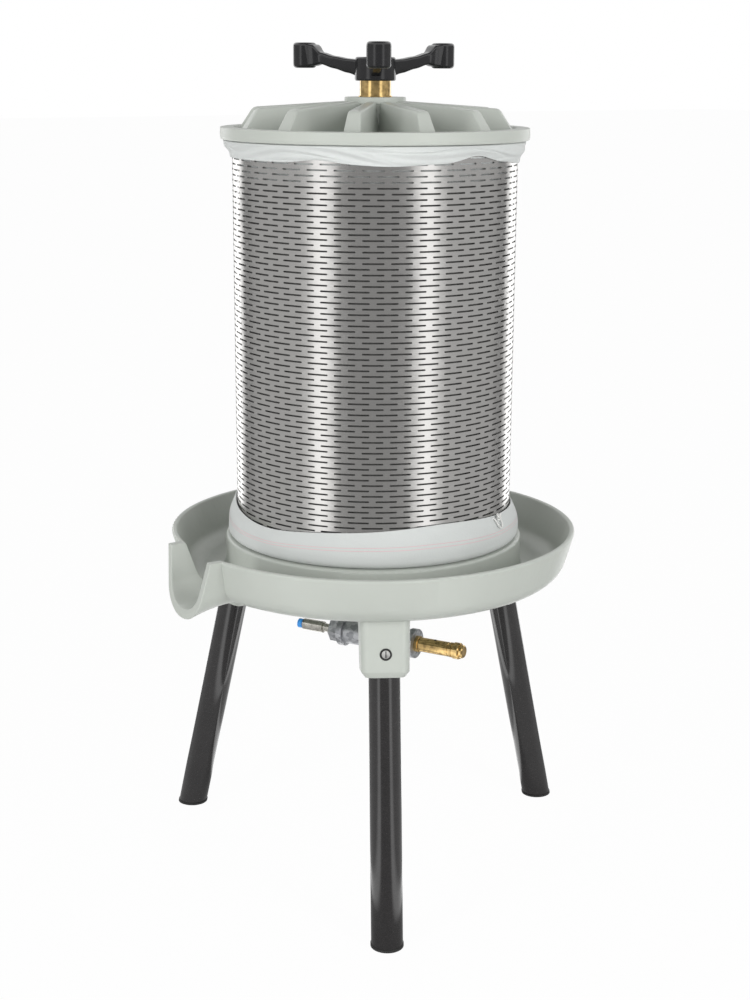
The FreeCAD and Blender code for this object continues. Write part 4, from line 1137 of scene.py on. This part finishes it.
def make_knot():
    middle = Vector(cord_point(*CORD_ROUTE[-1]))
    outward = (middle - AXIS).normalized()
    outward.z = 0.0
    outward.normalize()
    level = Vector((-outward.y, outward.x, 0.0))
    stations, sides = 90, 10
    places = []
    for step in range(stations):
        turn = 2 * math.pi * step / stations
        across = math.sin(turn) + 2 * math.sin(2 * turn)
        up = math.cos(turn) - 2 * math.cos(2 * turn)
        out = -math.sin(3 * turn)
        places.append(middle + (level * across + Vector((0, 0, 1)) * up + outward * out) * KNOT_SIZE)
    points, faces = [], []
    for step, place in enumerate(places):
        along = (places[(step + 1) % stations] - places[step - 1]).normalized()
        side = along.cross(outward).normalized()
        lift = side.cross(along)
        for item in range(sides):
            angle = 2 * math.pi * item / sides
            spot = place + (side * math.cos(angle) + lift * math.sin(angle)) * CORD_DIAMETER / 2
            points.append(tuple(spot))
            other, following = (item + 1) % sides, (step + 1) % stations
            faces.append((step * sides + item, step * sides + other,
                          following * sides + other, following * sides + item))
    return add_piece("drawstring_knot", points, faces, "cord", "basket_set")


drawstring = make_cord()
knot = make_knot()
cord_length = line_length(drawstring)
print("cord:", round(cord_length, 4), "m")
cord_point(*CORD_ROUTE[0])

# %% [markdown]
# The floor and the light. The object stands on white: a wide pale floor keeps its soft shadow,
# and the world is white for the camera. Two tall soft boxes, one on each side of the camera,
# light the front. What gloss and metal reflect is drawn apart: on a studio's set, dark screens
# stand beside the camera and between the lamps, and they give a polished cylinder its upright
# bands. Here they are one ramp over the direction round the object, which both the world and
# the floor show to glossy rays, because the basket's wall mirrors the floor in front of it.

# %% Floor, world and lamps
FLOOR_WHITE = 0.9
FLOOR_SEEN = 0.97
WORLD_LEVEL = 0.80
WORLD_ABOVE = 0.30
GLOSS_LEVEL = 1.55
SCREENS = ((0.0, 0.40), (0.025, 0.45), (0.05, 1.2), (0.13, 1.2), (0.17, 0.16), (0.23, 0.19),
           (0.34, 0.32), (0.78, 0.35),
           (0.85, 1.0), (0.90, 1.0), (0.94, 0.23), (1.0, 0.21))
BOX_TURN = math.radians(42.0)
BOX_DISTANCE = 2.6
BOX_SIZE = (0.62, 2.1)
BOX_WATTS = 30.0


class Studio(Finish):
    """The world's own nodes, made with the same methods as a finish."""

    def __init__(self, tree):
        self.tree = tree


def bearing(finish, direction):
    """1 where a level direction points from the axis to the camera, 0 where it points away."""
    flat = finish.node("VectorMath", {"operation": "MULTIPLY"}, {0: direction, 1: (1.0, 1.0, 0.0)})
    unit = finish.node("VectorMath", {"operation": "NORMALIZE"}, {0: flat})
    towards = tuple(towards_camera())
    along = finish.node("VectorMath", {"operation": "DOT_PRODUCT"}, {0: unit, 1: towards}, 1)
    return 0.5 + 0.5 * along


def add_floor():
    size = 30.0
    mesh = bpy.data.meshes.new("floor")
    corners = [(-size, -size, 0), (size, -size, 0), (size, size, 0), (-size, size, 0)]
    mesh.from_pydata(corners, [], [(0, 1, 2, 3)])
    floor = bpy.data.objects.new("floor", mesh)
    bpy.context.scene.collection.objects.link(floor)
    finish = Finish("floor_white", (FLOOR_WHITE,) * 3, roughness=1.0, specular_ior_level=0.0)
    tree = finish.tree
    glow = finish.node("Emission", None, {"Color": (1.0, 1.0, 1.0), "Strength": 1.0})
    seen = finish.node("LightPath", output="Is Camera Ray")
    cover = finish.node("MixShader", None, {0: seen * FLOOR_SEEN, 2: glow})
    tree.links.new(finish.skin.outputs[0], cover.socket.node.inputs[1])
    spot = finish.node("NewGeometry", output="Position")
    from_axis = finish.node("VectorMath", {"operation": "SUBTRACT"}, {0: spot, 1: tuple(AXIS)})
    screens = finish.ramp(bearing(finish, from_axis), *SCREENS)
    mirrored = finish.node("Emission", None, {"Color": screens, "Strength": GLOSS_LEVEL})
    glossy = finish.node("LightPath", output="Is Glossy Ray")
    surface = finish.node("MixShader", None, {0: glossy, 1: cover, 2: mirrored})
    tree.links.new(surface.socket, tree.nodes["Material Output"].inputs["Surface"])
    mesh.materials.append(finish.material)


def add_world():
    world = bpy.data.worlds.new("studio")
    world.use_nodes = True
    bpy.context.scene.world = world
    studio = Studio(world.node_tree)
    tree = world.node_tree
    plain = tree.nodes["Background"]
    direction = studio.node("TexCoord", output="Generated")
    height = studio.node("SeparateXYZ", None, {0: direction}, 2)
    level = studio.ramp(height, (0.0, WORLD_LEVEL), (0.25, WORLD_LEVEL), (0.85, WORLD_ABOVE))
    tree.links.new(level.socket, plain.inputs["Color"])
    plain.inputs["Strength"].default_value = 1.0
    white = studio.node("Background", None, {"Color": (1.0, 1.0, 1.0), "Strength": 1.0})
    screens = studio.ramp(bearing(studio, direction), *SCREENS)
    under = studio.ramp(height, (0.30, 0.0), (0.42, 1.0))
    overhead = studio.ramp(height, (0.42, 1.0), (0.72, 1.0), (0.88, 0.25))
    shown = studio.blend(under, screens, overhead)
    mirrored = studio.node("Background", None, {"Color": shown, "Strength": GLOSS_LEVEL})
    glossy = studio.node("LightPath", output="Is Glossy Ray")
    seen = studio.node("LightPath", output="Is Camera Ray")
    lit = studio.node("MixShader", None, {0: glossy, 2: mirrored})
    tree.links.new(plain.outputs[0], lit.socket.node.inputs[1])
    surface = studio.node("MixShader", None, {0: seen, 1: lit, 2: white})
    tree.links.new(surface.socket, tree.nodes["World Output"].inputs["Surface"])


def add_soft_box(name, turn, distance, height, size, watts, aim=0.6):
    data = bpy.data.lights.new(name, "AREA")
    data.shape = "RECTANGLE"
    data.size, data.size_y = size
    data.energy = watts
    lamp = bpy.data.objects.new(name, data)
    lamp.visible_glossy = False
    bpy.context.scene.collection.objects.link(lamp)
    place = AXIS + towards_camera(turn) * distance + Vector((0, 0, height))
    target = AXIS + Vector((0, 0, aim))
    lamp.matrix_world = (
        Matrix.Translation(place) @ (target - place).to_track_quat("-Z", "Y").to_matrix().to_4x4()
    )


add_floor()
add_world()
add_soft_box("box_left", -BOX_TURN, BOX_DISTANCE, 1.2, BOX_SIZE, BOX_WATTS)
add_soft_box("box_right", BOX_TURN, BOX_DISTANCE, 1.2, BOX_SIZE, BOX_WATTS)
bpy.context.scene.view_settings.view_transform = "Standard"
